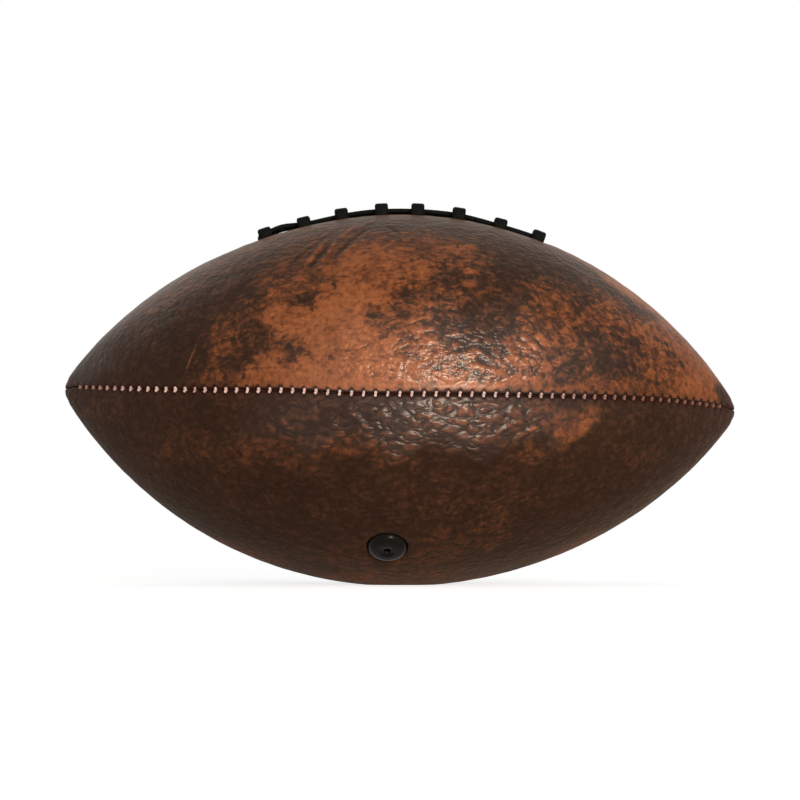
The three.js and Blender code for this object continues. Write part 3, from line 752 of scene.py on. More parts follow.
def hole_shade(along, around):
    """Painted shade in the needle holes beside the front and back seams."""
    places, pitch = stitch_places(-THREAD_END, THREAD_END)
    length = ARC_RADIUS * np.arcsin(np.clip(along / ARC_RADIUS, -1, 1))
    off = (length - places[0] + pitch / 2) % pitch - pitch / 2
    reach = (off**2 + (np.abs(around) - HOLE_SHADE_REACH) ** 2) / HOLE_SHADE_RADIUS**2
    return HOLE_SHADE * np.exp(-reach)


def paint_panel(piece):
    """Writes the levels that the leather reads."""
    mesh = piece.data
    flat = np.empty(3 * len(mesh.vertices), dtype=np.float32)
    mesh.vertices.foreach_get("co", flat)
    along, around = side_places(flat.reshape(-1, 3).astype(float) / MM)
    upper = [stroke for stroke in STAIN_STROKES if stroke[1] > 0]
    lower = [stroke for stroke in STAIN_STROKES if stroke[1] <= 0]
    above = painted(along, around, UPPER_STAIN, upper)
    below = painted(along, around, LOWER_STAIN, lower)
    stain = np.where(around > 0, above, below) - FOLD_STAIN * fold_height(along, around)
    groove_shade = GROOVE_SHADE * (1 - smoothstep(*GROOVE_SHADE_RUN, np.abs(around)))
    levels = {
        # The stain level also carries the painted shade of the seam grooves and needle holes.
        "stain": stain + (groove_shade + hole_shade(along, around)),
        "mottle": painted(along, around, FLAT_MOTTLE, MOTTLE_STROKES),
        "crease": crease_level(along, around),
        "gloss": painted(along, around, FLAT_GLOSS, GLOSS_STROKES),
        "slash": painted(along, around, 0, SLASH_STROKES),
        "along": along,
        "around": around,
    }
    for name, values in levels.items():
        write_attribute(mesh, name, values)


def panel(name, seam, tools, material):
    """A leather panel from one seam to the next, with what the tools cut out of it."""
    points, rows, columns = panel_points(seam)
    faces = loft_faces(rows, columns)
    piece = new_piece(f"leather_{name}", points, faces, "ball", f"panel_{name}")
    for tool in tools:
        cut(piece, tool)
    paint_panel(piece)
    finish_mesh(piece, material)


# Materials

class Graph:
    """Short calls for the nodes of a material or a world."""

    def __init__(self, owner):
        owner.use_nodes = True
        self.owner = owner
        self.tree = owner.node_tree

    def node(self, kind, sockets=None, **settings):
        made = self.tree.nodes.new("ShaderNode" + kind)
        for key, value in settings.items():
            setattr(made, key, value)
        for key, value in (sockets or {}).items():
            self.feed(made.inputs[key], value)
        return made

    def feed(self, socket, value):
        if isinstance(value, bpy.types.NodeSocket):
            self.tree.links.new(value, socket)
        else:
            socket.default_value = value

    def set(self, **values):
        shader = self.tree.nodes["Principled BSDF"]
        for key, value in values.items():
            self.feed(shader.inputs[key.replace("_", " ")], value)

    def coords(self):
        return self.node("TexCoord").outputs["Object"]

    def attribute(self, name):
        return self.node("Attribute", attribute_name=name).outputs["Fac"]

    def math(self, operation, a, b=0.0):
        return self.node("Math", {0: a, 1: b}, operation=operation).outputs[0]

    def add(self, a, b):
        return self.math("ADD", a, b)

    def less(self, a, b):
        return self.math("SUBTRACT", a, b)

    def times(self, a, b):
        return self.math("MULTIPLY", a, b)

    def span(self, value, low, high, to_low=0.0, to_high=1.0):
        """A value carried smoothly from one range to another."""
        sockets = {"Value": value, "From Min": low, "From Max": high, "To Min": to_low, "To Max": to_high}
        return self.node("MapRange", sockets, interpolation_type="SMOOTHSTEP").outputs["Result"]

    def noise(self, vector, scale, detail=3.0, roughness=0.55):
        sockets = {"Vector": vector, "Scale": scale, "Detail": detail, "Roughness": roughness}
        return self.node("TexNoise", sockets).outputs["Fac"]

    def cells(self, vector, scale):
        """Distance to the nearest edge between the cells of an irregular net."""
        made = self.node("TexVoronoi", {"Vector": vector, "Scale": scale}, feature="DISTANCE_TO_EDGE")
        return made.outputs["Distance"]

    def ramp(self, value, stops):
        made = self.node("ValToRGB", {"Fac": value})
        elements = made.color_ramp.elements
        for _ in stops[2:]:
            elements.new(0.5)
        for element, (position, colour) in zip(elements, stops):
            element.position = position
            element.color = (*colour, 1)
        return made.outputs["Color"]

    def mix(self, kind, factor, a, b):
        made = self.node("Mix", data_type="RGBA", blend_type=kind)
        self.feed(made.inputs["Factor"], factor)
        self.feed(made.inputs["A"], a)
        self.feed(made.inputs["B"], b)
        return made.outputs["Result"]

    def warped(self, vector, scale, amount):
        """Coordinates pushed about by noise."""
        push = self.node("TexNoise", {"Vector": vector, "Scale": scale, "Detail": 2.0}).outputs["Color"]
        middle = (0.5, 0.5, 0.5)
        centred = self.node("VectorMath", {0: push, 1: middle}, operation="SUBTRACT").outputs[0]
        scaled = self.node("VectorMath", {0: centred, "Scale": amount}, operation="SCALE").outputs[0]
        return self.node("VectorMath", {0: vector, 1: scaled}, operation="ADD").outputs[0]

    def stretched(self, vector, stretch, location=(0, 0, 0), rotation=(0, 0, 0)):
        """Coordinates scaled along X, so that what is drawn on them gets longer there."""
        sockets = {"Vector": vector, "Scale": (stretch, 1, 1), "Location": location, "Rotation": rotation}
        return self.node("Mapping", sockets).outputs["Vector"]

    def bump(self, height, distance, normal=None):
        sockets = {"Height": height, "Distance": distance, "Strength": 1.0}
        if normal is not None:
            sockets["Normal"] = normal
        return self.node("Bump", sockets).outputs["Normal"]


def srgb(*numbers):
    """A linear colour from 8-bit sRGB numbers."""
    shares = [number / 255 for number in numbers]
    return tuple(c / 12.92 if c <= 0.04045 else ((c + 0.055) / 1.055) ** 2.4 for c in shares)


COPPER = srgb(163, 98, 61)
COPPER_DEEP = srgb(142, 83, 51)
RED_BROWN = srgb(102, 61, 40)
UMBER = srgb(70, 45, 32)
DARK_BROWN = srgb(54, 35, 24)
# Painted shade of the seam grooves and needle holes
GROOVE_SHADE_BROWN = srgb(48, 13, 6)

# The leather's colour by the level of stain, in halves of that level; the last stop is the painted shade of
# the seam grooves and needle holes
STAIN_COLOURS = [
    (0.0, COPPER),
    (0.15, COPPER_DEEP),
    (0.28, RED_BROWN),
    (0.4, UMBER),
    (0.5, DARK_BROWN),
    (0.85, GROOVE_SHADE_BROWN),
]

# Noise scales of the leather, in cells for each metre, and heights of its relief, in metres.
# A warp is the scale of the noise that pushes a pattern about, and how far it pushes.
CRUMPLE_SCALE = 440
CRUMPLE_STRETCH = 0.75
CRUMPLE_WARP = (300, 0.002)
CRUMPLE_LINE_SCALE = 260
CRUMPLE_LINE_WARP = (250, 0.003)
CRUMPLE_LINE_WIDTH = 0.14
CRUMPLE_LINE_MIDDLE = 0.4
CRUMPLE_LINE_SHARE = 0.17
PEBBLE_SCALE = 200
PEBBLE_STRETCH = 0.5
PEBBLE_WARP = (300, 0.0015)
PEBBLE_NETS = (0.0, 0.37)  # where in the noise each net of creases is read
PEBBLE_CREASE = 0.09  # level at which a crease has risen to its pebble
PEBBLE_SIDE_RISE = 0.4
PEBBLE_DOME = 0.26  # and at which the pebble is full
PEBBLE_DOME_RISE = 1.6
UPPER_CRUMPLE = 1.7  # shares of both above the seam
UPPER_PEBBLES = 0.6
SWELL_SCALE = 240
SWELL_SHARE = 1.2
SLASH_SCALE = 300
SLASH_STRETCH = 0.25
SLASH_TILT = math.radians(-38)
SLASH_WARP = (200, 0.001)
SLASH_WIDTH = 0.4
PORE_SCALE = 620
PORE_WARP = (500, 0.001)
RELIEF_HEIGHT = 0.00026
PORE_HEIGHT = 0.00036

# Small changes of the stain
CREASE_STAIN = (0.3, -0.1)  # in a crease, and on its pebble
CRUMPLE_SPOTS = 2.0
SPOT_NOISES = [(110, 2, 0.8), (260, 2, 0.5)]  # scale, detail and share of the spots in the finish
SPOT_WARP = (160, 0.004)
SPECK_SCALE = 420
SPECK_LEVELS = (0.64, 0.85)  # levels of the noise where a speck starts and is full
SPECK_STAIN = 0.25
MARK_WOBBLE_SCALE = 150
MARK_WOBBLE = 5.0  # millimetres

# Light and dark of the leather: a noise's scale, detail and roughness, and the tones that it runs between
NOISE_RANGE = (0.3, 0.7)  # levels that most of a noise lies between
CLOUD_NOISE = (45, 4, 0.55)
CLOUD_TONES = (0.88, 1.1)
GRAIN_NOISE = (320, 3, 0.6)
# These tones also darken the pores where their bump is low: painted shade in the pits
GRAIN_AND_PIT_SHADE_TONES = (0.86, 1.1)
ROUGHNESS = (0.78, 0.5)  # below the seam, and above it
ROUGHNESS_REACH = 40.0  # from the seam to where each is full

# Thin marks on the front and back: place along the ball, place round it from the seam, half length,
# half width, tilt in degrees, and the change in stain
MARK_FULL = 0.3  # share of a mark's half length and half width within which it is full
MARK_EDGE = 1.6  # and of its half width where it has faded
MARKS = [
    (-83.5, 14.3, 12.5, 0.4, 71, -0.6),
    (114, 18, 7, 0.6, -54, 0.6),
    (108, 24, 8, 0.5, -58, 0.5),
]


def mark(g, along, around, place, height, half_length, half_width, tilt):
    """A thin straight mark on the leather, 1 along its middle and 0 outside it."""
    c, s = math.cos(math.radians(tilt)), math.sin(math.radians(tilt))
    off_along = g.less(along, place)
    off_around = g.less(around, height)
    lengthwise = g.add(g.times(off_along, c), g.times(off_around, s))
    sideways = g.less(g.times(off_around, c), g.times(off_along, s))
    ends = g.span(g.math("ABSOLUTE", lengthwise), MARK_FULL * half_length, half_length, 1.0, 0.0)
    edges = g.span(g.math("ABSOLUTE", sideways), MARK_FULL * half_width, MARK_EDGE * half_width, 1.0, 0.0)
    return g.times(ends, edges)


def leather_stain_and_shade(g, coords, crumple):
    """How much of the dark finish is left, from 0, bare copper, to 1, covered, with painted shade up to 2 in
    the seams and needle holes.
    """
    pushed = g.warped(coords, *SPOT_WARP)
    spots = g.times(g.less(0.5, crumple), CRUMPLE_SPOTS)
    for scale, detail, share in SPOT_NOISES:
        ripple = g.less(g.noise(pushed, scale, detail, roughness=0.5), 0.5)
        spots = g.add(spots, g.times(ripple, share))
    # The stain attribute also holds the painted shade of the seams and needle holes.
    level = g.add(g.attribute("stain"), g.times(spots, g.attribute("mottle")))
    level = g.add(level, g.span(g.noise(coords, SPECK_SCALE, detail=0), *SPECK_LEVELS, 0.0, SPECK_STAIN))
    wobble = g.times(g.less(g.noise(coords, MARK_WOBBLE_SCALE, detail=2), 0.5), MARK_WOBBLE)
    along = g.add(g.attribute("along"), wobble)
    around = g.add(g.attribute("around"), wobble)
    for *shape, change in MARKS:
        level = g.add(level, g.times(mark(g, along, around, *shape), change))
    return level


def off_lines(g, vector, scale):
    """Distance in level from the lines where a noise crosses its middle."""
    return g.math("ABSOLUTE", g.less(g.noise(vector, scale, detail=1, roughness=0.4), 0.5))


def pebble_edge(g, coords):
    """0 in the creases between pebbles, which run mostly along the ball, and more on the pebbles."""
    edge = 1.0
    for shift in PEBBLE_NETS:
        moved = g.stretched(coords, PEBBLE_STRETCH, location=(shift, shift, shift))
        edge = g.math("MINIMUM", off_lines(g, g.warped(moved, *PEBBLE_WARP), PEBBLE_SCALE), edge)
    return edge


def leather_relief(g, coords, crumple, edge):
    """Height of the leather: crumpled above the seam, pebbled below it, and slanting creases."""
    sides = g.span(edge, 0.0, PEBBLE_CREASE, 0.0, PEBBLE_SIDE_RISE)
    pebbles = g.add(sides, g.span(edge, 0.0, PEBBLE_DOME, 0.0, PEBBLE_DOME_RISE))
    ridges = g.add(g.times(crumple, UPPER_CRUMPLE), g.times(pebbles, UPPER_PEBBLES))
    below = g.span(g.attribute("around"), 1.0, -1.0)
    above = g.less(1.0, below)
    folds = g.add(g.times(ridges, above), g.times(pebbles, below))
    folds = g.add(folds, g.times(g.noise(coords, SWELL_SCALE, detail=0), SWELL_SHARE))
    folds = g.times(folds, g.attribute("crease"))
    slanted = g.stretched(coords, SLASH_STRETCH, rotation=(0, SLASH_TILT, 0))
    slash_edge = g.cells(g.warped(slanted, *SLASH_WARP), SLASH_SCALE)
    slashes = g.times(g.span(slash_edge, 0.0, SLASH_WIDTH), g.attribute("slash"))
    return g.add(folds, slashes)


def leather_crumple(g, coords):
    """The crumpled level of the leather, about 0.5, with thin raised lines."""
    off = off_lines(g, g.warped(coords, *CRUMPLE_LINE_WARP), CRUMPLE_LINE_SCALE)
    lines = g.span(off, 0.0, CRUMPLE_LINE_WIDTH, 1.0, 0.0)
    pushed = g.warped(g.stretched(coords, CRUMPLE_STRETCH), *CRUMPLE_WARP)
    crumple = g.noise(pushed, CRUMPLE_SCALE, detail=3, roughness=0.6)
    return g.add(crumple, g.times(g.less(lines, CRUMPLE_LINE_MIDDLE), CRUMPLE_LINE_SHARE))


def leather(name, coat, coat_roughness, metal):
    """Leather whose polished places have a share of a clear coat and a share of a metallic lustre."""
    g = Graph(bpy.data.materials.new(name))
    coords = g.coords()
    crumple = leather_crumple(g, coords)
    edge = pebble_edge(g, coords)
    crack = g.times(g.span(edge, 0.0, PEBBLE_CREASE, *CREASE_STAIN), g.attribute("crease"))
    stain = g.add(leather_stain_and_shade(g, coords, crumple), crack)
    colour = g.ramp(g.times(stain, 0.5), STAIN_COLOURS)
    pores = g.noise(g.warped(coords, *PORE_WARP), PORE_SCALE, detail=1)
    tone_and_pit_shade = g.span(g.noise(coords, *CLOUD_NOISE), *NOISE_RANGE, *CLOUD_TONES)
    # The pores' tone is darker where their bump is low: painted shade in the pits.
    for level in (pores, g.noise(coords, *GRAIN_NOISE)):
        tone_and_pit_shade = g.times(tone_and_pit_shade, g.span(level, *NOISE_RANGE, *GRAIN_AND_PIT_SHADE_TONES))
    grey = g.node("CombineColor", {0: tone_and_pit_shade, 1: tone_and_pit_shade, 2: tone_and_pit_shade}).outputs[0]
    colour = g.mix("MULTIPLY", 1.0, colour, grey)

    folds = g.bump(leather_relief(g, coords, crumple, edge), RELIEF_HEIGHT)
    grain = g.bump(pores, PORE_HEIGHT, folds)
    gloss = g.attribute("gloss")
    rough = g.span(g.attribute("around"), -ROUGHNESS_REACH, ROUGHNESS_REACH, *ROUGHNESS)
    g.set(Base_Color=colour, Roughness=rough, Normal=grain, Metallic=g.times(gloss, metal))
    g.set(Specular_IOR_Level=0.12, Specular_Tint=(1, 0.8, 0.64, 1))
    g.set(Sheen_Weight=0.09, Sheen_Roughness=0.4, Sheen_Tint=(1, 0.72, 0.48, 1))
    g.set(Coat_Weight=g.times(gloss, coat), Coat_Roughness=coat_roughness, Coat_Normal=folds)
    return g.owner


# Plain materials: how much finer than the colour their gloss and their grain are, and the gloss's spread
GLOSS_FINENESS = 2.2
GRAIN_FINENESS = 4
GLOSS_SPREAD = 0.08


def simple(name, dark, light, scale, rough, bump, specular=0.4):
    """A mottled material of one kind of stuff, with a fine grain."""
    g = Graph(bpy.data.materials.new(name))
    coords = g.coords()
    low, high = NOISE_RANGE
    colour = g.ramp(g.noise(coords, scale, 4, 0.6), [(low, dark), (high, light)])
    gloss = g.noise(coords, GLOSS_FINENESS * scale, 3, 0.6)
    roughness = g.span(gloss, low, high, rough - GLOSS_SPREAD, rough + GLOSS_SPREAD)
    g.set(Base_Color=colour, Roughness=roughness, Specular_IOR_Level=specular)
    g.set(Normal=g.bump(g.noise(coords, GRAIN_FINENESS * scale, 3, 0.6), bump))
    return g.owner


def canvas():
    """A plain weave."""
    g = Graph(bpy.data.materials.new("lining_canvas"))
    wave = {"Vector": g.coords(), "Scale": 320.0, "Distortion": 0.6}
    warp = g.node("TexWave", wave, bands_direction="X").outputs["Fac"]
    weft = g.node("TexWave", wave, bands_direction="Z").outputs["Fac"]
    weave = g.times(warp, weft)
    colour = g.ramp(weave, [(0.0, srgb(140, 128, 100)), (1.0, srgb(205, 192, 162))])
    g.set(Base_Color=colour, Roughness=0.9, Normal=g.bump(weave, 0.0004))
    return g.owner


# Thread

def spline(points, steps):
    """Points of a smooth curve through control points."""
    p = np.asarray(points)
    before = np.vstack([p[:1], p[:-1]])
    after = np.vstack([p[1:], p[-1:]])
    tangent = (after - before) / 2
    t = (np.arange(steps) / steps)[None, :, None]
    a, b = p[:-1, None], p[1:, None]
    u, v = tangent[:-1, None], tangent[1:, None]
    curve = (2 * t**3 - 3 * t**2 + 1) * a + (t**3 - 2 * t**2 + t) * u
    curve = curve + (3 * t**2 - 2 * t**3) * b + (t**3 - t**2) * v
    return np.vstack([curve.reshape(-1, 3), p[-1:]])


def unit(vectors):
    """Vectors of the same directions and length 1."""
    return vectors / np.linalg.norm(vectors, axis=-1, keepdims=True)


def tube(path, sides, section):
    """Rings of a tube along a path: sides gives the width directions, section the offsets at each ring."""
    heading = unit(np.gradient(path, axis=0))
    side = unit(sides - heading * np.sum(sides * heading, axis=1, keepdims=True))
    up = np.cross(heading, side)
    w, t = section[..., 0, None], section[..., 1, None]
    return path[:, None] + w * side[:, None] + t * up[:, None]


def carried_sides(path, first):
    """Width directions carried along a path without twisting."""
    heading = unit(np.gradient(path, axis=0))
    side = np.asarray(first, dtype=float)
    sides = []
    for h in heading:
        side = side - h * side.dot(h)
        side = side / np.linalg.norm(side)
        sides.append(side)
    return np.array(sides)


# How dirty the thread is along the ball: clean over the middle, dirty at the points and in one spot
GRIME_RIGHT = (25, 100)  # along +X: where it starts and is full
GRIME_LEFT = (94, 132)  # along -X
GRIME_LEFT_LEVEL = 0.8
GRIME_SPOT = -81
GRIME_SPOT_WIDTH = 3
GRIME_SPOT_LEVEL = 0.7


def thread_grime(x):
    """How dirty the thread is at a place along the ball."""
    ends = np.maximum(smoothstep(*GRIME_RIGHT, x), GRIME_LEFT_LEVEL * smoothstep(*GRIME_LEFT, -x))
    return np.maximum(ends, GRIME_SPOT_LEVEL * np.exp(-(((x - GRIME_SPOT) / GRIME_SPOT_WIDTH) ** 2)))


def thread_material():
    """Waxed thread, pale where it is clean and brown where it is dirty."""
    g = Graph(bpy.data.materials.new("waxed_thread"))
    coords = g.coords()
    clean = g.ramp(g.noise(coords, 900, 4, 0.6), [(0.3, srgb(236, 196, 186)), (0.7, srgb(255, 232, 226))])
    dirty = (*srgb(128, 74, 50), 1)
    colour = g.mix("MIX", g.times(g.attribute("grime"), 0.9), clean, dirty)
    rough = g.span(g.noise(coords, 2000, 3, 0.6), 0.3, 0.7, 0.5, 0.68)
    g.set(Base_Color=colour, Roughness=rough, Specular_IOR_Level=0.3)
    g.set(Normal=g.bump(g.noise(coords, 3600, 3, 0.6), 0.00006))
    return g.owner


def stitch_controls(seam, start, end):
    """Points that the thread follows: over the seam, down a hole, back under the seam to the next hole."""
    right_start, left_start = STITCH_NARROWING_STARTS
    places, pitch = stitch_places(start, end)
    controls = []
    for middle in places:
        narrowing = smoothstep(right_start, THREAD_END, middle) + smoothstep(left_start, THREAD_END, -middle)
        for slants, reaches, depth in STITCH_PATH:
            across = -reaches * STITCH_REACH * (1 - STITCH_NARROWING * narrowing)
            along = middle + slants * STITCH_SLANT
            controls.append(seam_spot(seam, along, across, depth + seam_pull(across)))
        controls.append(seam_spot(seam, middle + 0.5 * pitch, 0, STITCH_RETURN_DEPTH + seam_pull(0)))
    return controls


def seam_thread(name, material):
    """One length of twisted thread along a seam."""
    path = spline(stitch_controls(*THREADS[name]), THREAD_CURVE_STEPS)
    travel = np.concatenate([[0], np.cumsum(np.linalg.norm(np.diff(path, axis=0), axis=1))])
    angles = math.tau * np.arange(THREAD_SIDES) / THREAD_SIDES
    twist = math.tau * travel[:, None] / PLY_TURN
    radius = THREAD_RADIUS * (1 + PLY_RELIEF * np.cos(THREAD_PLIES * (angles[None] - twist / THREAD_PLIES)))
    section = np.stack([radius * np.cos(angles), radius * np.sin(angles)], axis=-1)
    points = tube(path, carried_sides(path, (1, 0, 0)), section).reshape(-1, 3)
    points[:, 2] = np.maximum(points[:, 2], 0)
    faces = loft_faces(len(path), len(angles))
    piece = new_piece(f"stitching_{name}", points, faces, "ball", f"seam_thread_{name}")
    write_attribute(piece.data, "grime", thread_grime(points[:, 0]))
    finish_mesh(piece, material)


# Lace

STRAND_HEIGHT = STRAND_LIFT + LACE_THICKNESS / 2
BAR_HEIGHT = STRAND_HEIGHT + LACE_THICKNESS + LACE_SELF_GAP


def slit_spot(place):
    """A point near the slit from its place along the ball, across the slit and above the leather."""
    along, across, height = place
    slope = slope_at(along)
    return spot(slope, TOP_SEAM + across / outline(slope, 0)[1], -height)


def lace_corners():
    """The lace's corners in order, each with its place and the direction of its width."""
    inside = -LACE_INSIDE
    corners = []

    def corner(along, across, height, width):
        corners.append((np.array([along, across, height], dtype=float), np.array([*width, 0], dtype=float)))

    def strand(start, end, across, width):
        corner(start, across, inside, width)
        for i in range(STRAND_STEPS + 1):
            along = start + (end - start) * i / STRAND_STEPS
            off_spring = (along - STRAND_SPRING_PLACE) / STRAND_SPRING_WIDTH
            spring = STRAND_SPRING * math.exp(-(off_spring**2))
            corner(along, across, STRAND_HEIGHT + spring - lacing_dip(along), width)
        corner(end, across, inside, width)

    corner(-STRAND_END - LACE_TAIL, -STRAND_OFFSET, inside, (0, 1))
    strand(-STRAND_END, STRAND_END, -STRAND_OFFSET, (0, 1))
    for i in range(TURN_STEPS + 1):
        angle = math.pi * i / TURN_STEPS
        along = STRAND_END + LACE_TURN_RUN + STRAND_OFFSET * math.sin(angle)
        corner(along, -STRAND_OFFSET * math.cos(angle), inside, (-math.sin(angle), math.cos(angle)))
    strand(STRAND_END, -STRAND_END, STRAND_OFFSET, (0, -1))
    for bar in BARS:
        corner(bar, BAR_HOLE_OFFSET, inside, (1, 0))
        for across in (1, 0.5, 0, -0.5, -1):
            corner(bar, across * BAR_HOLE_OFFSET, BAR_HEIGHT - lacing_dip(bar), (1, 0))
        corner(bar, -BAR_HOLE_OFFSET, inside, (1, 0))
        if bar != BARS[-1]:
            corner(bar + BAR_PITCH / 2, 0, inside, (2 * BAR_HOLE_OFFSET, -BAR_PITCH))
    corner(BARS[-1], 0, inside, (1, 0))
    return corners


def rounded_path(corners):
    """Rounds each corner with a curve that touches both of its runs."""
    path = [corners[0]]
    for (before, _), (place, width), (after, _) in zip(corners, corners[1:], corners[2:]):
        back, ahead = before - place, after - place
        back_length, ahead_length = np.linalg.norm(back), np.linalg.norm(ahead)
        cosine = np.clip(back.dot(ahead) / (back_length * ahead_length), -1, 1)
        half = math.acos(cosine) / 2
        if math.pi - 2 * half < STRAIGHT_ENOUGH:
            path.append((place, width))
            continue
        reach = min(LACE_BEND_RADIUS / math.tan(half), back_length / 2, ahead_length / 2)
        start = place + back * reach / back_length
        end = place + ahead * reach / ahead_length
        for k in range(BEND_STEPS + 1):
            t = k / BEND_STEPS
            path.append(((1 - t) ** 2 * start + 2 * t * (1 - t) * place + t**2 * end, width))
    path.append(corners[-1])
    return path


def strip_section():
    """The lace's cross-section: a flat strip with rounded edges."""
    points = []
    for quadrant in range(4):
        x = (LACE_WIDTH / 2 - LACE_EDGE_RADIUS) * (1 if quadrant in (0, 3) else -1)
        y = (LACE_THICKNESS / 2 - LACE_EDGE_RADIUS) * (1 if quadrant in (0, 1) else -1)
        for k in range(LACE_EDGE_STEPS + 1):
            angle = QUARTER * (quadrant + k / LACE_EDGE_STEPS)
            points.append((x + LACE_EDGE_RADIUS * math.cos(angle), y + LACE_EDGE_RADIUS * math.sin(angle)))
    return np.array(points)


def lace(material):
    """The whole lace as one strip."""
    path = rounded_path(lace_corners())
    points = np.array([slit_spot(place) for place, _ in path])
    asides = [slit_spot(place + SMALL_STEP * width / np.linalg.norm(width)) for place, width in path]
    section = strip_section()
    sections = np.broadcast_to(section, (len(points), *section.shape))
    rings = tube(points, unit(np.array(asides) - points), sections)
    faces = loft_faces(len(points), len(section))
    piece = new_piece("lacing", rings.reshape(-1, 3), faces, "ball", "lace")
    finish_mesh(piece, material)


# Valve

# Profiles: radius and height above the leather
VALVE_STEM = [(2.3, -20), (4, -20), (4, -9.6)]
VALVE_FLANGE = [(14, -9.6), (14, -8.2), (8.2, -6.4)]
VALVE_RIM = [(8.2, -1.6), (8.2, -1.1)]
VALVE_FACE = [(4.4, 1.75), (2.95, 1.8)]
VALVE_DOME_SWELL = 0.85  # between the rim and the face
VALVE_DOME_STEPS = 12
VALVE_FACE_SWELL = 0.05
VALVE_FACE_STEPS = 3
VALVE_SEAT = [(2.8, 1.7), (2.8, 0.0), (2.3, 0.0)]
CORE_STEM = [(0, -17), (1, -17), (2, -16), (2, 0.3)]
CORE_HEAD = [(2.7, 0.3), (2.7, 1.55), (2.55, 1.7), (2.0, 1.65)]
NEEDLE_HOLE = [(1.5, 1.3), (1.1, 0.5), (0.8, -0.6), (0.8, -2.5), (0, -2.5)]


def turned(name, profile, body, replaced, material):
    """A round piece about the valve's axis, from a profile that starts and ends on its bore or axis."""
    points, rings = [], []
    for radius, height in profile:
        start = len(points)
        if radius == 0:
            rings.append([start] * VALVE_SIDES)
            points += valve_ring(0, height, 1)
        else:
            rings.append(list(range(start, start + VALVE_SIDES)))
            points += valve_ring(radius, height, VALVE_SIDES)
    pairs = list(zip(rings, rings[1:]))
    has_bore = profile[0][0] > 0
    if has_bore:
        pairs.append((rings[-1], rings[0]))
    faces = []
    for low, high in pairs:
        for k in range(VALVE_SIDES):
            n = (k + 1) % VALVE_SIDES
            quad = [low[k], low[n], high[n], high[k]]
            faces.append(tuple(dict.fromkeys(quad)))
    piece = new_piece(name, points, faces, body, replaced)
    finish_mesh(piece, material, VALVE_SHARP_ANGLE)


def arc(start, end, bulge, steps):
    """Points of a profile from start to end that swell sideways by a bulge."""
    (r0, h0), (r1, h1) = start, end
    length = math.hypot(r1 - r0, h1 - h0)
    nr, nh = -(h1 - h0) / length, (r1 - r0) / length
    points = []
    for i in range(steps + 1):
        t = i / steps
        swell = 4 * bulge * t * (1 - t)
        points.append((r0 + (r1 - r0) * t - nr * swell, h0 + (h1 - h0) * t - nh * swell))
    return points


def valve(material):
    """The valve's body and its core."""
    rim, outer_rim = VALVE_RIM
    dome = arc(outer_rim, VALVE_FACE[0], VALVE_DOME_SWELL, VALVE_DOME_STEPS)
    face = arc(*VALVE_FACE, VALVE_FACE_SWELL, VALVE_FACE_STEPS)[1:]
    body = VALVE_STEM + VALVE_FLANGE + [rim] + dome + face + VALVE_SEAT
    turned("valve_cap", body, "ball", "valve_body", material)
    turned("valve_plug", CORE_STEM + CORE_HEAD + NEEDLE_HOLE, "core", "valve_core", material)


# Stage

CAMERA_DISTANCE = 1300
CAMERA_ELEVATION = -2  # degrees
VIEW_WIDTH = 334.9  # width of the picture at the ball's middle
SENSOR = 36
AIM = (0.1, 0, 77.1)
AMBIENT = 0.27  # light from all round, for rays that don't show the background
FLOOR_SIZE = 30000
FLOOR_GREY = 0.8
FLOOR_GLOW = 0.78  # brings the floor up to white where it is seen directly
LAMP_COLOUR = (1.0, 0.86, 0.69)
LAMP_AZIMUTH = 16  # degrees to the right of the camera
LAMP_ELEVATION = 6
LAMP_DISTANCE = 1200
LAMP_SIZE = 300
LAMP_POWER = 8.4


def aimed(name, data, target, azimuth, elevation, distance):
    """A camera or lamp that looks at a point from a distance."""
    a, e = math.radians(azimuth), math.radians(elevation)
    back = Vector((math.sin(a) * math.cos(e), -math.cos(a) * math.cos(e), math.sin(e)))
    made = bpy.data.objects.new(name, data)
    made.location = (Vector(target) + back * distance) * MM
    made.rotation_euler = back.to_track_quat("Z", "Y").to_euler()
    bpy.context.scene.collection.objects.link(made)
    return made


def camera():
    """The camera at the photograph's viewing angle."""
    data = bpy.data.cameras.new("camera")
    data.sensor_width = SENSOR
    data.lens = SENSOR * CAMERA_DISTANCE / VIEW_WIDTH
    data.clip_start = 0.01
    bpy.context.scene.camera = aimed("camera", data, AIM, 0, CAMERA_ELEVATION, CAMERA_DISTANCE)


def lamp():
    """One square soft lamp."""
    data = bpy.data.lights.new("key", "AREA")
    data.size = LAMP_SIZE * MM
    data.energy = LAMP_POWER
    data.color = LAMP_COLOUR
    aimed("key", data, (0, 0, CENTRE_HEIGHT), LAMP_AZIMUTH, LAMP_ELEVATION, LAMP_DISTANCE)


def seen_directly(g):
    """1 for rays that show the background: from the camera, mirrored or let through."""
    rays = g.node("LightPath").outputs
    seen = g.math("MAXIMUM", rays["Is Camera Ray"], rays["Is Glossy Ray"])
    return g.math("MAXIMUM", seen, rays["Is Transmission Ray"])


def world():
    """Even white light all round."""
    made = bpy.data.worlds.new("studio")
    bpy.context.scene.world = made
    g = Graph(made)
    background = g.tree.nodes["Background"]
    g.feed(background.inputs["Color"], (1, 1, 1, 1))
    g.feed(background.inputs["Strength"], g.span(seen_directly(g), 0.0, 1.0, AMBIENT, 1.0))


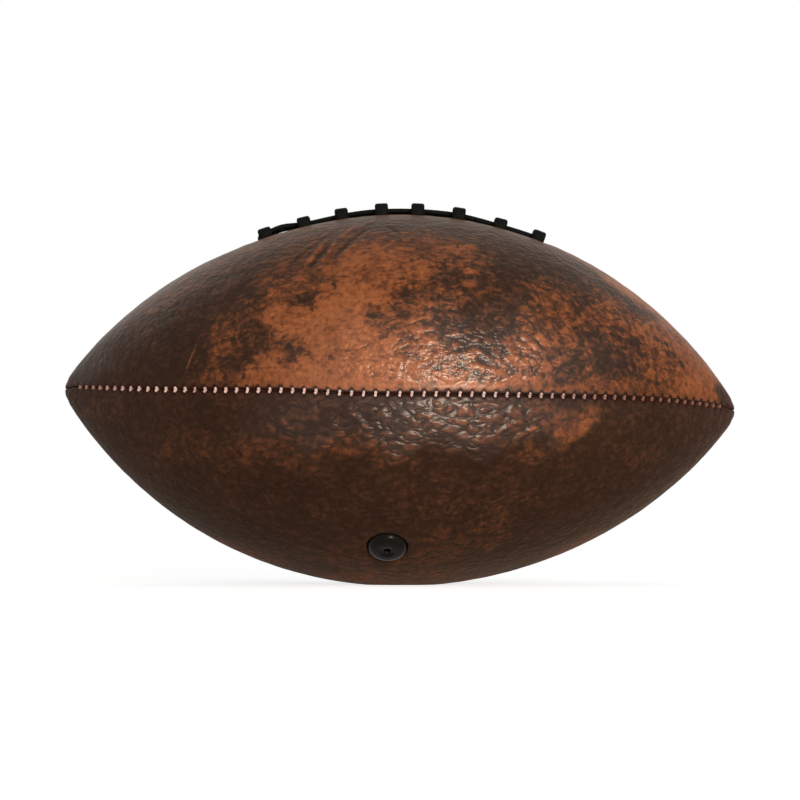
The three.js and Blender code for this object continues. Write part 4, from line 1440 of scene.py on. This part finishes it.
def floor():
    """A plain pale floor that keeps the ball's shadow."""
    half = FLOOR_SIZE / 2
    corners = [(-half, -half, 0), (half, -half, 0), (half, half, 0), (-half, half, 0)]
    made = mesh_object("floor", corners, [(0, 1, 2, 3)])
    g = Graph(bpy.data.materials.new("floor_white"))
    g.tree.nodes.clear()
    diffuse = g.node("BsdfDiffuse", {"Color": (FLOOR_GREY, FLOOR_GREY, FLOOR_GREY, 1)})
    strength = g.times(seen_directly(g), FLOOR_GLOW)
    glow = g.node("Emission", {"Color": (1, 1, 1, 1), "Strength": strength})
    total = g.node("AddShader", {0: diffuse.outputs[0], 1: glow.outputs[0]})
    g.node("OutputMaterial", {"Surface": total.outputs[0]})
    made.data.materials.append(g.owner)


def dress_inside():
    """Materials for the CAD nodes that keep their shape."""
    lining = canvas()
    inner_leather = simple("inner_leather", srgb(120, 84, 56), srgb(176, 132, 92), 350, 0.8, 0.0003)
    rubber = simple("bladder_rubber", srgb(24, 21, 19), srgb(48, 43, 40), 160, 0.6, 0.0001)
    kinds = {"lining_": lining, "lace_facing": inner_leather, "lace_tongue": inner_leather, "bladder": rubber}
    for name, node in frame["nodes"].items():
        for start, material in kinds.items():
            if name.startswith(start):
                node.data.materials.clear()
                node.data.materials.append(material)


def dress():
    """All pieces that stand for CAD nodes, and the materials of the rest."""
    upper = leather("upper_leather", coat=1.0, coat_roughness=0.22, metal=0.7)
    lower = leather("lower_leather", coat=0.8, coat_roughness=0.26, metal=1.15)
    panel("front_upper", FRONT_SEAM, [lace_slots(-1)], upper)
    panel("back_upper", TOP_SEAM, [lace_slots(1)], upper)
    panel("back_lower", BACK_SEAM, [], lower)
    panel("front_lower", BOTTOM_SEAM, [valve_hole()], lower)
    twine = thread_material()
    for name in THREADS:
        seam_thread(name, twine)
    lace(simple("lace_strip", srgb(6, 6, 5), srgb(13, 13, 11), 420, 0.6, 0.0001, specular=0.08))
    valve(simple("valve_rubber", srgb(12, 8, 5), srgb(20, 13, 8), 300, 0.22, 0.000004, specular=0.09))
    dress_inside()


bpy.context.scene.view_settings.view_transform = "Standard"
camera()
world()
floor()
lamp()
dress()
